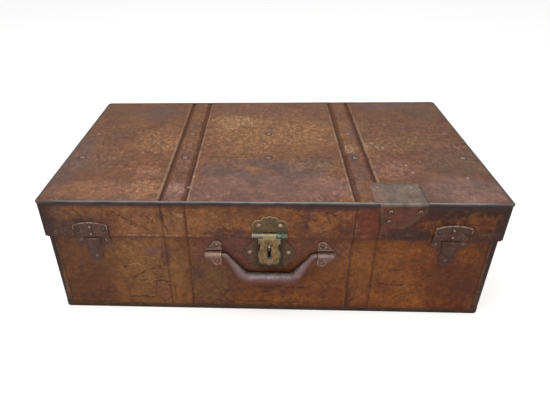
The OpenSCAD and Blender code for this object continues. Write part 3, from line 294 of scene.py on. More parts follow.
def case_paint(name, ground, gold, rust, mauve, zones=(), dark_edges=(), grooves=0.6, fleck=0.5, fine_k=0.16,
               flecked=(), strokes=(), late=(), across=False, speckle=0.3, lip=0.0026, specular=0.3,
               tint=(), calm=()):
    """Layers of worn, flaking and rubbed paint on sheet metal, with painted shade in corners and grooves and
    painted highlights beside the grooves.

    ground gives the main colour along the length, and tint corrects it. The other lists name what is
    seen on the object, in millimetres: zones (kind, colour, strength, u, v, half width, half height),
    where kind is s soft, f a flake with a crisp edge, o one with a dark outline or v rubbed in upright
    streaks; strokes (colour, strength, u0, v0, u1, v1, width and raggedness); flecked and calm places
    (u, v, half width, half height). across is for the top, whose v is y.
    """
    m = Build(name)
    w = m.warped(0.03, 0.012)
    big = m.noise(0.07, 7, 0.62, vec=w)
    ragged = m.noise(0.02, 8, 0.7, vec=w)
    fine = m.noise(0.0085, 7, 0.68, vec=w)
    grit = m.noise(0.0024, 4, 0.7)
    base = m.ramp(m.x, ground)
    base = m.mix(m.step(big, 0.53, 0.56) * 0.42, base, gold)
    base = m.mix(m.step(big, 0.45, 0.42) * 0.42, base, rust)
    base = m.mix(m.step(m.noise(0.1, 5, 0.6), 0.53, 0.64) * 0.4, base, mauve)
    u, v = (m.x, m.y) if across else (m.x, m.z)
    for kind, colour, strength, *place in zones:
        place = metres(place)
        small = min(place[2:]) < 0.013
        if kind == "s":
            patch = m.step(m.reach(u, v, *place, 0.55, 0.035), 1.4, 0.6)
        else:
            d = m.reach(u, v, *place, 0.9 if kind == "o" else 1.6 if small else 1.2,
                        0.007 if small else 0.015, 8)
            patch = m.step(d, 1.08, 0.9) * (0.42 + m.step(fine, 0.44, 0.56) * 0.58)
        if kind == "o":
            line = m.step(abs(d - 1.03), 0.12, 0.02)
            base = m.mix(line * 0.55, base, INK)
        if kind == "v":
            streaks = m.noise(0.006, 6, 0.65, vec=m.scaled(1, 1, 0.22))
            patch = patch * m.step(streaks, 0.4, 0.56)
        base = m.mix(patch * strength, base, colour)
    # flakes of the upper coat, with a thin dark edge here and there
    flake = m.step(ragged, 0.505, 0.525)
    base = m.times(base, flake * 0.22, (1.42, 1.34, 1.2))
    base = m.times(base, m.step(ragged, 0.405, 0.385) * 0.4, (0.62, 0.58, 0.58))
    rim = m.step(abs(ragged - 0.5), 0.012, 0.0) * m.step(m.noise(0.06, 3), 0.47, 0.56)
    base = m.mix(rim * 0.5, base, INK)
    # mottling at three scales
    mott = m.step(m.noise(0.032, 6, 0.62, vec=w), 0.36, 0.64)
    base = m.mottle(base, mott, (0.86, 0.85, 0.86), (1.14, 1.14, 1.12))
    k = fine_k
    base = m.mottle(base, m.step(fine, 0.33, 0.67), (1 - k, 1 - 1.06 * k, 1 - 1.06 * k),
                    (1 + k, 1 + 0.97 * k, 1 + 0.8 * k))
    base = m.mottle(base, m.step(grit, 0.34, 0.66), 0.86, 1.14)
    # crazing
    vein = m.cracks(0.018, m.warped(0.01, 0.012))
    vein = m.step(vein, 0.03, 0.006) * m.step(m.noise(0.045, 4, 0.6), 0.53, 0.6)
    base = m.mix(vein * 0.38, base, INK)
    # small light flecks where the crinkled coat is rubbed
    where = m.step(m.noise(0.05, 5), 0.5, 0.56) * 0.7
    for place in flecked:
        where = m.max(where, m.step(m.reach(u, v, *metres(place), 0.6, 0.02), 1.1, 0.8))
    # crinkled coat: light crests and dark dips
    grain = m.noise(0.0056, 6, 0.74, vec=m.scaled(1.0, 0.62, 1.0) if across else m.scaled(0.8, 1.0, 1.0))
    crest = m.step(grain, 0.52, 0.6) * (0.35 + where * 0.65)
    dip = m.step(grain, 0.47, 0.39)
    for place in calm:
        quiet = 1 - m.step(m.reach(u, v, *metres(place), 0.8, 0.03), 1.2, 0.7) * 0.65
        crest, dip = crest * quiet, dip * quiet
    base = m.times(base, 0.55 * speckle * crest, (1.95, 1.95, 1.9))
    base = m.mix(0.32 * speckle * crest, base, 0xC4A082)
    base = m.times(base, 0.85 * speckle * dip, (0.5, 0.46, 0.48))
    flecks = m.step(m.noise(0.005, 5, 0.72), 0.545, 0.615) * where
    base = m.times(base, 0.5 * fleck * flecks, (2.25, 2.05, 1.75))
    # dark pits
    pits = m.step(m.noise(0.006, 5, 0.68), 0.385, 0.345) * m.step(m.noise(0.04, 3), 0.42, 0.55)
    base = m.mix(pits * 0.55, base, INK)
    # fine scratches along the length
    s1 = m.noise(0.004, 2, 0.5, vec=m.scaled(0.1, 0.5, 1.0))
    scratch = m.step(abs(s1 - 0.5), 0.01, 0.0) * m.step(m.noise(0.04, 2), 0.58, 0.66)
    base = m.mix(scratch * 0.28, base, INK)
    if tint:
        half = m.ramp(m.x, [(x, (r / 2, g / 2, b / 2)) for x, r, g, b in tint])
        base = m.mix(1.0, base, m.scaled(2, 2, 2, half), "MULTIPLY")
    for colour, strength, *line in strokes:
        base = m.mix(m.stroke(u, v, *metres(line[:5]), *line[5:]) * strength, base, colour)
    # pressed lines: painted shade in each groove and a painted highlight on the panel's edge beside it,
    # broken by noise like rubbed paint
    if grooves:
        q = band_depth(m) * (0.0046 / lip)
        base = m.mix(m.step(q, -0.0036, -0.0022) * m.step(q, 0.006, -0.001) * grooves, base, 0x543428)
        base = m.mix(0.7 * grooves * m.ring(q, -0.0014, 0.0018), base, 0x3C261E)
        worn = m.ring(q, -0.0044, 0.0022) * (0.4 + m.step(m.noise(0.012, 5), 0.38, 0.54) * 0.6)
        base = m.mix(0.95 * grooves * worn, base, 0xBA967C if across else 0x926848)
    base = darkened(m, base, dark_edges)
    # painted shade in corners and along seams, from ambient occlusion
    d = m.step(m.crevice(0.006) + (fine - 0.5) * 0.3, 0.25, 0.85)
    base = m.mix(d * (0.4 if across else 0.8), base, 0x2C1C18)
    if across:
        # rings round the batten rivets, and a few bright chips
        row = abs(m.y - BATTEN_MID) - BATTEN_OFF
        d = m.near(m.x, row, [(x, 0) for x in BATTEN_RIVETS]) + m.shared(0.0045, 4) * 0.006
        seen = 1 - far_band(m) * 0.75
        base = m.mix(m.step(d, 0.0095, 0.005) * 0.45 * seen, base, 0x56403E)
        base = m.mix(m.ring(d, 0.005, 0.0016) * 0.8 * seen, base, 0x281E22)
        d = m.near(m.x, m.y, CHIPS)
        base = m.mix(m.step(d, 0.0026, 0.0012) * 0.75, base, 0xCEB098)
    base = darkened(m, base, late)
    rough = 0.46 + fine * 0.24
    if grooves:
        rough = rough + m.step(q, -0.008, -0.004) * m.step(q, 0.008, 0.001) * 0.25
    # inner faces: dull tinned sheet with stains
    out = m.nz if across else m.nx * m.x + m.ny * m.y + m.nz * (m.z - 0.1)
    inner = m.step(out, 0.0, -0.002)
    tin = m.mix(m.step(m.noise(0.08, 6, 0.65), 0.42, 0.62), 0x786A56, 0x5E503E)
    stain = m.step(m.noise(0.02, 6, 0.7), 0.55, 0.66) * 0.7
    tin = m.mix(stain, tin, 0x683E24)
    base = m.mix(inner, base, tin)
    height = (flake * 0.12 + fine * 0.4 + m.noise(0.0016, 4, 0.7) * 0.12 - vein * 0.25 - scratch * 0.2
              - pits * 0.2 + m.noise(0.045, 3, 0.5) * 1.6 + 0.3 * speckle * grain)
    return m.finish(base, rough, height, 0.6, 0.0012, 0.0, specular)


# colours seen on the top (T) and on the front (F), and main colours along x
T_GOLD, T_RUST, T_MAUVE, T_PINK, T_GREY = 0x8C633E, 0x80523C, 0x6A5048, 0x886256, 0x6C503E
F_GOLD, F_RUST, F_MAUVE = 0x845A34, 0x623626, 0x543832
T_GROUND = [(-0.3, 0x744B31), (-0.16, 0x7B4E31), (0.0, 0x845A3E), (0.11, 0x7C5237), (0.17, 0x744A32),
            (0.3, 0x6D462F)]
LID_GROUND = [(-0.3, 0x68432C), (-0.18, 0x825538), (-0.05, 0x7F502F), (0.12, 0x6E3C28), (0.2, 0x542E1E),
              (0.3, 0x482517)]
BASE_GROUND = [(-0.3, 0x623A24), (-0.17, 0x7D5331), (-0.05, 0x704629), (0.02, 0x6B3C21), (0.16, 0x7A4722),
               (0.23, 0x673719), (0.3, 0x5C2E15)]
LID_TINT = [(-0.29, 1.42, 1.26, 1.02), (-0.18, 1.24, 1.2, 1.14), (-0.05, 1.2, 1.18, 1.16),
            (0.11, 1.06, 0.92, 0.9), (0.19, 0.92, 0.74, 0.66), (0.27, 0.78, 0.54, 0.38)]
BASE_TINT = [(-0.27, 1.2, 1.05, 0.8), (-0.18, 1.2, 1.13, 1.08), (-0.11, 1.1, 1.04, 1.02),
             (0.0, 1.19, 1.12, 0.92), (0.14, 1.16, 1.04, 0.9), (0.25, 1.28, 0.93, 0.5)]
PLAIN = [(-0.3, 0x603E2C), (0.0, 0x6A462E), (0.3, 0x583624)]
DARK = 0x2E201E

top_zones = [
    ("s", T_GOLD, 0.75, 12, 40, 90, 85), ("f", 0xB6926A, 0.6, -62, 86, 30, 36),
    ("f", 0x926642, 0.5, 60, 60, 40, 30), ("f", T_RUST, 0.55, 10, -14, 34, 18),
    ("f", 0x8C5842, 0.55, -70, -5, 22, 26), ("s", 0x7E5442, 0.6, 0, 135, 100, 22),
    ("s", T_MAUVE, 0.95, -14, -92, 85, 32), ("s", 0x7C5C52, 0.85, -20, -140, 105, 40),
    ("f", 0x624644, 0.65, -16, -61, 20, 10), ("f", 0x966842, 0.75, -30, -84, 22, 9),
    ("f", 0x946642, 0.65, -6, -96, 20, 7), ("f", 0x665442, 0.8, 66, -72, 27, 18),
    ("f", 0x946C56, 0.6, 52, -78, 18, 14), ("s", T_PINK, 0.9, 78, -136, 40, 30),
    ("f", 0x805642, 0.6, -70, -70, 30, 14), ("s", T_MAUVE, 0.8, -295, -60, 26, 90),
    ("s", 0x8E6650, 0.7, -215, -150, 70, 30), ("s", T_MAUVE, 0.8, -205, 127, 32, 36),
    ("f", 0x906640, 0.6, -237, 99, 24, 32), ("f", 0x966C46, 0.6, -173, 7, 43, 39),
    ("f", 0x8E5848, 0.75, -202, -147, 17, 9), ("f", 0x966A4E, 0.65, -164, -142, 27, 22),
    ("f", 0x966440, 0.6, -255, -149, 21, 14), ("s", T_GREY, 0.5, -242, -74, 28, 34),
    ("s", 0x927064, 0.8, -124, -146, 15, 22), ("f", 0x8E663E, 0.65, 184, 90, 26, 34),
    ("o", 0x86583C, 0.45, 200, 60, 32, 30), ("f", 0x7E5A38, 0.6, 215, 15, 50, 36),
    ("f", 0x86603C, 0.5, 262, 5, 20, 18), ("s", 0x745850, 0.8, 205, 155, 55, 16),
    ("s", 0x624A36, 0.8, 262, 120, 26, 24), ("s", T_GREY, 0.6, 262, -72, 40, 40),
    ("f", 0x6C4632, 0.6, 272, -30, 26, 16), ("s", 0x845C4C, 0.8, 180, -85, 34, 30),
    ("f", 0x96664E, 0.6, 176, -104, 18, 10), ("s", 0x86665C, 0.9, 256, -142, 56, 34),
    ("f", 0x604642, 0.6, 126, -44, 12, 16), ("f", 0x8C603C, 0.5, 127, 100, 10, 40),
    ("f", 0xBA947C, 0.7, 123, -19, 9, 14), ("f", 0xA88264, 0.6, 168, -12, 24, 13),
    ("f", 0xA47460, 0.55, -168, -98, 24, 18), ("s", 0x704C3C, 0.7, -124, -60, 14, 60),
    ("s", 0x6C4C40, 0.7, 128, -90, 14, 30),
]
lid_zones = [
    ("s", 0x4E3632, 0.95, -270, 152, 50, 24), ("f", 0x785438, 0.7, -262, 168, 26, 8),
    ("v", 0x88603E, 0.8, -156, 158, 50, 22), ("f", 0x805440, 0.65, -170, 166, 20, 8),
    ("o", 0x8E684C, 0.65, -118, 163, 8, 9), ("f", 0x3C2822, 0.65, -140, 166, 4, 5),
    ("f", 0x7C583E, 0.55, -128, 150, 12, 11), ("v", 0x885C3A, 0.75, -62, 163, 40, 16),
    ("f", 0x623A28, 0.6, -20, 172, 26, 9), ("f", 0x563630, 0.9, -54, 139, 37, 7),
    ("f", 0x4E2A22, 0.85, 67, 180, 50, 6), ("f", 0x56362E, 0.8, 42, 150, 10, 12),
    ("o", 0x8C5C38, 0.9, 68, 158, 22, 15), ("f", 0x825432, 0.6, 92, 160, 10, 12),
    ("f", 0x4A2C24, 0.7, 100, 148, 12, 10), ("f", 0x683826, 0.8, 130, 159, 17, 20),
    ("s", 0x482E2A, 0.9, 178, 141, 34, 10), ("f", 0x80542E, 0.8, 212, 154, 14, 10),
    ("f", 0x442E28, 0.9, 249, 175, 52, 9), ("f", 0x885C30, 0.9, 270, 160, 28, 11),
    ("s", 0x5C463E, 0.8, 282, 140, 21, 5),
]
base_zones = [
    ("s", 0x64422C, 0.8, -253, 91, 46, 39), ("s", 0x563424, 0.8, -262, 30, 42, 34),
    ("s", 0x7C5634, 0.8, -160, 70, 60, 54), ("f", 0x86603C, 0.55, -172, 100, 26, 18),
    ("f", 0x865E38, 0.5, -150, 62, 36, 22), ("f", 0x704C44, 0.9, -160, 106, 11, 10),
    ("f", 0x623E38, 0.95, -141, 100, 7.5, 20), ("o", 0x784C38, 0.9, -151, 32, 12, 18),
    ("f", 0x745830, 0.7, -180, 42, 14, 10), ("f", 0x8C5630, 0.85, -122, 26, 16, 13),
    ("s", 0x6A4C30, 0.8, -81, 60, 25, 44), ("f", 0x543632, 0.8, -98, 66, 11, 10),
    ("f", 0x3C261E, 0.75, -57, 35, 7, 3), ("s", 0x6C443E, 0.95, -40, 104, 60, 28),
    ("s", 0x684236, 0.9, 60, 110, 48, 22), ("f", 0x744C30, 0.5, 88, 74, 14, 30),
    ("o", 0x7E4A28, 0.8, -17, 21, 46, 18), ("f", 0x84542C, 0.6, 50, 20, 30, 12),
    ("f", 0x4A282C, 0.9, 116, 24, 4.5, 22), ("f", 0x80502C, 0.65, 132, 63, 19, 44),
    ("s", 0x7C4C2A, 0.8, 182, 95, 39, 34), ("f", 0x3C241E, 0.65, 172, 78, 11, 3.5),
    ("f", 0x543C32, 0.7, 162, 34, 5, 9), ("f", 0x8C5626, 0.8, 182, 24, 30, 18),
    ("s", 0x5C3822, 0.95, 262, 80, 56, 60), ("f", 0x522A1A, 0.75, 272, 40, 26, 20),
    ("f", 0x764A28, 0.55, 262, 106, 20, 16),
]


# places on the top: flecked where the coat is rubbed, and calm where it is smooth
FLECKED = [
    (10, 50, 100, 70), (-66, 89, 28, 34), (-173, 10, 43, 50), (-166, -146, 30, 21), (-68, -155, 18, 11),
    (50, -75, 45, 22), (126, -18, 9, 14), (172, -8, 30, 14), (274, -160, 30, 10),
]
CALM = [
    (250, -125, 80, 60), (-15, -120, 110, 56), (-250, -125, 60, 45), (220, 150, 80, 30),
    (-225, 130, 70, 45),
]
S_DARK, S_LIGHT, S_WINE = 0x301C18, 0xB48A62, 0x3C1C24
top_strokes = [
    (S_DARK, 0.65, -93, -49, 92, -50.5, 1.5, 0.3), (S_DARK, 0.45, -293, 25.5, -218, 18, 1.8, 0.3),
    (S_DARK, 0.4, 148, -40, 233, -38, 1.4, 0.3), (S_DARK, 0.55, 264, 40, 284, 39.5, 2.2, 0.3),
    (S_LIGHT, 0.55, 268, 34.5, 286, 34, 1.1, 0.2), (S_LIGHT, 0.4, -10, -152, 22, -154.5, 1.2, 1.4),
    (S_LIGHT, 0.35, 48, -129, 80, -125, 1.2, 1.4), (S_LIGHT, 0.4, 232, -157, 256, -160, 1.1, 1.4),
    (0x622C22, 0.5, 160, 86, 196, 60, 1.2, 1.0), (0x622C22, 0.5, 10, -10, 52, -14, 1.6, 1.0),
    (S_DARK, 0.4, -50, 94, 100, 96, 1.2, 0.5),
]
lid_strokes = [
    (S_DARK, 0.6, -204, 172, -152, 139, 0.9, 0.9), (S_DARK, 0.55, -256, 176, -246, 164, 1),
    (S_DARK, 0.65, -140, 174, -133, 136, 1.2, 0.7), (S_LIGHT, 0.55, -124, 172.5, -113, 164, 0.9, 0.3),
    (S_DARK, 0.55, -108, 172, -107, 138, 1.1, 0.6), (S_DARK, 0.6, 36, 170, 60, 162, 1.2, 0.8),
    (S_DARK, 0.6, 74, 176, 80, 156, 1.2, 0.9), (0x967454, 0.6, 113.5, 160, 114.5, 137, 1.1, 0.3),
    (0x602A1E, 0.8, 258, 153, 284, 166, 1.4, 0.9), (S_DARK, 0.6, 246, 149, 262, 157, 1.2, 0.8),
]
base_strokes = [
    (S_DARK, 0.75, -204, 73, -196, 80, 0.9), (S_LIGHT, 0.75, -196, 80, -184, 83, 0.9, 0.4),
    (S_LIGHT, 0.7, -184, 83, -172, 77, 1, 0.4), (S_DARK, 0.8, -192, 58, -172, 69, 1),
    (S_DARK, 0.7, -182, 50, -172, 55, 1), (S_DARK, 0.7, -166, 72, -150, 79, 1),
    (S_DARK, 0.6, -160, 56, -148, 59, 1.1), (S_DARK, 0.65, -108, 127, -105, 72, 1.1, 1.0),
    (S_DARK, 0.65, -104, 72, -108, 12, 1.1, 1.0), (S_DARK, 0.65, -200, 20, -166, 19, 1.3, 0.8),
    (S_DARK, 0.6, -166, 50, -138, 51.5, 1.2, 0.7), (S_DARK, 0.55, -134, 50, -132, 14, 1, 0.8),
    (S_LIGHT, 0.55, -172, 95, -158, 93, 0.9), (S_WINE, 0.8, -10, 43, 62, 44, 1.1, 0.6),
    (S_WINE, 0.8, 154, 53, 176, 50.5, 1.3, 0.8), (S_WINE, 0.8, 174, 50.5, 206, 51, 1.1, 0.5),
    (S_DARK, 0.6, 214, 60, 224, 68, 1), (S_DARK, 0.55, 204, 88, 210, 81, 1.1),
    (S_DARK, 0.5, 192, 95, 206, 94, 1), (S_DARK, 0.5, 180, 30, 196, 36, 0.9, 0.8),
    (S_WINE, 0.65, 110.5, 126, 110.5, 46, 1.1, 0.5), (S_DARK, 0.45, 146, 118, 145, 20, 0.9, 0.6),
    (S_DARK, 0.5, 240, 100, 270, 101, 0.9, 0.5), (S_DARK, 0.5, -60, 17, 60, 12, 1.6, 1.0),
    (S_DARK, 0.45, 250, 48, 290, 40, 1.4, 1.2),
]


def edge(along, size, amount, *shade):
    """Shade (from, to, colour, strength) along an edge, made uneven by noise."""
    return lambda m: (along(m) + m.noise(size, 3) * amount, *shade)


def height(m): return m.z


roll_shadow = edge(height, 0.03, 0.006, 0.179, 0.185, 0x3C2E2C, 0.75)
lid_hem = edge(height, 0.02, 0.003, SEAM + 0.0054, SEAM + 0.0022, 0x4E342F, 0.68)
lid_ends = edge(lambda m: abs(m.x), 0.03, 0.02, 0.288, 0.309, 0x382625, 0.78)
# painted shadow of the lid's edge on the base, just under the seam
lid_shadow_on_base = edge(height, 0.03, 0.004, 0.125, 0.136, 0x482C28, 0.5)
base_low = edge(height, 0.03, 0.01, 0.018, 0.006, 0x462A1E, 0.7)
base_corner = edge(lambda m: abs(m.x) + m.z * 0.05, 0.03, 0.012, 0.298, 0.31, DARK, 0.8)


def hem_chips(m):
    """Paint chipped off the lid's hem, left of the lock."""
    off = m.step(m.noise(0.0045, 5, 0.7), 0.58, 0.46) * 0.003 + m.step(abs(m.x + 0.14), 0.052, 0.066) * 0.004
    return (abs(m.z - 0.1346) + off, 0.002, 0.001, 0xBA9274, 0.75)


def pocket_painted_light(m):
    """Wall behind the hoods of the catches, painted light to lift the shade in the pockets."""
    u = abs(abs(m.x) - CATCH_X)
    return (m.max(u, abs(m.z - 0.118)), 0.0124, 0.0112, 0xB07A60, 0.9)


def far_top(m):
    """The top's far part, browned."""
    return (m.y + abs(m.x) * 0.35, 0.03, 0.19, 0x5E3616, 0.38)


def flange_dark(m):
    """Dark corners of the end sheets; on the flange the dark narrows downwards."""
    v = abs(m.x) + m.z * 0.045 + m.noise(0.02, 4) * 0.006
    f = m.step(v, 0.2985, 0.302) * m.step(abs(m.y), 0.15, 0.172)
    return (f, 0.0, 1.0, DARK, 0.92)


def flange_low(m):
    return (m.z, 0.03, 0.006, DARK, 0.7)


def wall(name, ground, zones, edges, **looks):
    return case_paint("paint_" + name, ground, F_GOLD, F_RUST, F_MAUVE, zones, edges, **looks)


MAT = {
    "lid_top": case_paint("paint_top", T_GROUND, T_GOLD, T_RUST, T_MAUVE, top_zones, (far_top,), grooves=0.75,
                          fleck=1.0, fine_k=0.22, flecked=FLECKED, strokes=top_strokes, across=True,
                          speckle=0.74, lip=0.0046, specular=0.24, calm=CALM),
    "lid_front": wall("lid_front", LID_GROUND, lid_zones, (roll_shadow, lid_hem, hem_chips, lid_ends),
                      grooves=0.35, strokes=lid_strokes, speckle=0.4, tint=LID_TINT),
    "base_front": wall("base_front", BASE_GROUND, base_zones, (lid_shadow_on_base, base_low, base_corner),
                       grooves=0.3, strokes=base_strokes, late=(pocket_painted_light,), fine_k=0.14, tint=BASE_TINT),
    "lid_back": wall("lid_back", PLAIN, (), (roll_shadow, lid_hem, lid_ends), grooves=0.45, fleck=0.6),
    "base_back": wall("base_back", PLAIN, (), (lid_shadow_on_base, base_low, base_corner), grooves=0.45, fleck=0.6),
    "base_floor": case_paint("paint_floor", [(-0.3, 0x4C3428), (0.3, 0x422C22)], 0x543A2C, 0x42281E, DARK,
                             grooves=0, fleck=0.4),
}
MAT["base_end_left"] = MAT["base_end_right"] = wall(
    "base_end", PLAIN, (), (lid_shadow_on_base, flange_low, flange_dark), grooves=0)
MAT["lid_end_left"] = MAT["lid_end_right"] = wall(
    "lid_end", PLAIN, (), (roll_shadow, lid_hem, flange_dark), grooves=0)


def metal(name, light, dark, stain, metallic=0.75, rough=0.42, stain_amount=0.6, size=0.006, extra=None,
          rim=0.0009, bright=(1.9, 1.85, 1.75), rub=0.75, below=0.6, corner_shade=0.75):
    """Old plated or rubbed metal: mottled, stained in patches, with small dents and scratches, rubbed edges
    with a painted highlight where they face up, and painted shade in corners.
    """
    m = Build(name)
    a = m.noise(size, 6, 0.65)
    b = m.noise(size * 2.7, 5, 0.6)
    g = m.noise(0.0009, 3, 0.6)
    c = m.mix(m.step(a, 0.36, 0.66), dark, light)
    spot = m.step(b, 0.5, 0.66) * stain_amount
    c = m.mix(spot, c, stain)
    c = m.mottle(c, g, 0.82, 1.18)
    line = m.noise(0.0012, 2, vec=m.scaled(0.12, 1, 1))
    scr = m.step(abs(line - 0.5), 0.02, 0.0) * m.step(m.noise(0.01, 2), 0.52, 0.6)
    c = m.times(c, scr * 0.35, 1.7)
    if extra:
        c, spot = extra(m, c, spot)
    # rubbed edges made bright, more where they face up: rubbed metal with a painted highlight
    e = m.step(m.rim(rim) + (a - 0.5) * 0.5, 0.22, 0.6) * rub
    e = e * (below + m.step(m.nz, -0.1, 0.45) * (1 - below))
    c = m.times(c, e, bright)
    # painted shade in corners and along seams
    d = m.step(m.crevice(0.003) + (a - 0.5) * 0.4, 0.28, 0.75)
    c = m.mix(d * corner_shade, c, m.mix(0.75, c, 0x281A16))
    r = rough + spot * 0.28 + (g - 0.5) * 0.14
    h = a * 0.5 + g * 0.1 + scr * -0.15
    return m.finish(c, r, h, 0.35, 0.0004, metallic)


def knuckle_tints(m, c, spot):
    """Grey rubbed left knuckle and verdigris right knuckle."""
    low = m.step(m.z, 0.1428, 0.1418) * m.step(m.y, -0.1779, -0.1783)
    left = low * m.step(m.x, LOCK_X - 0.006, LOCK_X - 0.008)
    right = low * m.step(m.x, LOCK_X + 0.006, LOCK_X + 0.008)
    c = m.mix(left * 0.85, c, m.mix(m.noise(0.003, 5, 0.7), 0x787064, 0xBAB2A0))
    green = m.mix(m.step(m.noise(0.0035, 5, 0.7), 0.35, 0.62), 0x4A5C46, 0x8EAC90)
    c = m.mix(right * 0.9, c, green)
    # painted shade round the feet of the hasp's rivets
    d = m.near(abs(m.x - LOCK_X), m.z, [(0.014, 0.152)])
    c = m.mix(m.step(d, 0.0048, 0.0034) * 0.55, c, 0x36281C)
    # top edge of the hasp plate: painted highlight on rubbed metal
    edge = m.step(m.rim(0.0011), 0.16, 0.42) * m.step(m.z, 0.148, 0.154)
    c = m.mix(edge * 0.85, c, m.mix(m.noise(0.003, 4), 0xA89274, 0xE2CEB0))
    return c, m.max(spot, right * 0.7)


def flap_shade(m, c, spot):
    """Darker ring round the keyhole and darker lower lobes of the flap, a few rubbed places, and painted
    shade and a painted highlight at the keyhole.
    """
    worn = (m.noise(0.0035, 5, 0.7) - 0.5) * 0.014
    ring = m.step(m.reach(m.x, m.z, LOCK_X, 0.1105, 0.005, 0.012, 0.25, 0.006), 1.15, 0.75)
    low = m.step(m.z + m.noise(0.006, 4) * 0.008, 0.102, 0.094)
    c = m.mix(ring * 0.5, c, 0x544028)
    c = m.mix(low * 0.5, c, 0x685236)
    d = m.near(m.x, m.z, [(LOCK_X + 0.0115, 0.13), (LOCK_X, 0.098)]) + worn
    c = m.mix(m.step(d, 0.005, 0.0022) * 0.42, c, 0xBCA28A)
    d = m.near(m.x, m.z, [(LOCK_X - 0.001, 0.127), (LOCK_X + 0.002, 0.124)]) + worn
    c = m.mix(m.step(d, 0.0022, 0.001) * 0.6, c, 0x463422)
    # keyhole: painted shade along its slot and a painted highlight on the pin at its top
    slot = m.max(abs(m.x - (LOCK_X - 0.0002)) * 4.4, abs(m.z - 0.114))
    c = m.mix(m.step(slot, 0.0115, 0.009) * 0.9, c, 0x241A12)
    d = m.near(m.x, m.z, [(LOCK_X - 0.0002, 0.1222)])
    c = m.mix(m.step(d, 0.002, 0.001) * 0.9, c, 0xDED0B0)
    # thin leaf from the knuckle: paler
    c = m.mix(m.step(m.z, 0.133, 0.136) * 0.55, c, 0xBCB286)
    return c, spot


def lock_shade(m, c, spot):
    """The flap's shade on the plate behind it, and red paint left at the left ear."""
    u = m.x - LOCK_X + m.shared(0.0045, 4) * 0.003
    c = m.mix(m.step(abs(u), 0.0225, 0.0165) * 0.5, c, 0x30221A)
    c = m.mix(m.step(u, -0.024, -0.031) * 0.6, c, 0x623E34)
    # painted shade round the feet of the lock plate's rivets
    d = m.near(abs(m.x - LOCK_X), m.z, [(0.0262, 0.105)])
    c = m.mix(m.step(d, 0.0048, 0.0034) * 0.55, c, 0x32241C)
    return c, spot


def dome_highlight_and_shade(m, c, spot):
    """Painted highlight on a rivet's crown where it faces up and forward, and painted shade on its lower side
    round its foot.
    """
    # painted highlight on the crown facing up and forward, painted shade on the side turned away
    up = m.nz * 0.62 - m.ny * 0.78
    c = m.times(c, m.step(up, 0.8, 0.97) * 0.6, (1.95, 1.95, 1.92))
    return m.mix(m.step(up, 0.72, 0.3) * 0.6, c, 0x32221E), spot


def socket_shade(m, c, spot):
    """Barrel with a painted highlight on its upper side, broken where worn; above it a painted highlight on a
    ridge over a line of painted shade; ringed rivets with painted shade at their feet; and rust at the lower
    left one.
    """
    u = abs(m.x - LOCK_X)
    left = m.step(m.x, 0.01, -0.01)
    worn = m.step(m.noise(0.006, 5, 0.7), 0.42, 0.56)
    wob = m.shared(0.0045, 4) * 0.004
    barrel = m.step(abs(m.z - 0.103), 0.0066, 0.0052) * m.step(m.y, -0.175, -0.1758)
    c = m.mix(barrel * 0.5, c, m.mix(left, 0x846864, 0x9E7864))
    # painted highlight on the barrel's upper side
    high = barrel * m.step(m.nz, 0.15, 0.65) * (0.25 + worn * 0.75)
    c = m.mix(high * 0.6, c, m.mix(left, 0xAC948E, 0xD8B8A2))
    z = m.z + wob * 0.2
    # painted highlight on the ridge above the barrel, and painted shade under it
    c = m.mix(m.ring(z, 0.1106, 0.0011) * 0.65, c, 0xC4A490)
    c = m.mix(m.ring(z, 0.1091, 0.001) * 0.7, c, 0x3E261E)
    # painted shade round the rivets' feet, and rubbed rings
    d = m.near(u, abs(m.z - HANDLE_Z), [(0.0715, 0.0145)]) + wob
    c = m.mix(m.ring(d, 0.0033, 0.0014) * 0.5, c, 0x3C2620)
    c = m.mix(m.ring(d, 0.0052, 0.0013) * worn * 0.55, c, 0xC4AA98)
    rust = left * m.step(m.z, 0.097, 0.094) * m.step(d, 0.005, 0.0028)
    return m.mix(rust * 0.6, c, 0x96522E), spot


def catch_shade(m, c, spot):
    """Rim of the lid's plate, rubbed and given a painted highlight where it faces up; painted shade round its
    rivets; painted highlights on the studs; and a redder right catch.
    """
    u = abs(abs(m.x) - CATCH_X)
    r = m.length(u, m.z - 0.094)
    c = m.times(c, m.step(m.x, -0.01, 0.01), (0.82, 0.66, 0.6))
    lid = m.step(m.z, 0.1315, 0.1325)
    worn = m.step(m.noise(0.006, 4), 0.42, 0.5)
    side = m.ring(u, 0.0231, 0.0009) * m.step(m.z, 0.143, 0.147) * worn * 0.6
    arc = m.ring(r, 0.0613, 0.001) * (0.35 + worn * 0.65)
    # painted highlight on the rubbed rim where it faces up
    c = m.mix(lid * m.max(arc, side) * 0.85, c, 0xBEA28E)
    d = m.near(u, m.z, [(0.0172, 0.1435)]) + m.shared(0.0045, 4) * 0.004
    # painted shade round the rivets' feet
    c = m.mix(m.ring(d, 0.003, 0.0014) * 0.6, c, 0x34201C)
    c = m.mix(m.ring(d, 0.0046, 0.001) * worn * 0.3, c, 0x8C6A5A)
    d = m.near(u, m.z, [(0.0, 0.1372), (0.0, 0.1488)])
    # painted highlights on the studs
    c = m.mix(m.step(d, 0.0018, 0.0008) * 0.75, c, 0xC8AA92)
    chips = m.step(m.noise(0.004, 5, 0.7), 0.57, 0.62) * m.step(m.z, 0.112, 0.124)
    return m.mix(chips * 0.45, c, 0x96604A), spot


def painted_over(m, c, spot):
    return m.mix(far_band(m) * 0.8, c, 0x7A543C), spot


# rivets of the repair patch, as (x, z) on the front and (x, y) on the top
PATCH_FRONT = ((0.1545, 0.175), (0.1545, 0.1605), (0.1915, 0.175))
PATCH_TOP = ((0.1435, -0.136),)


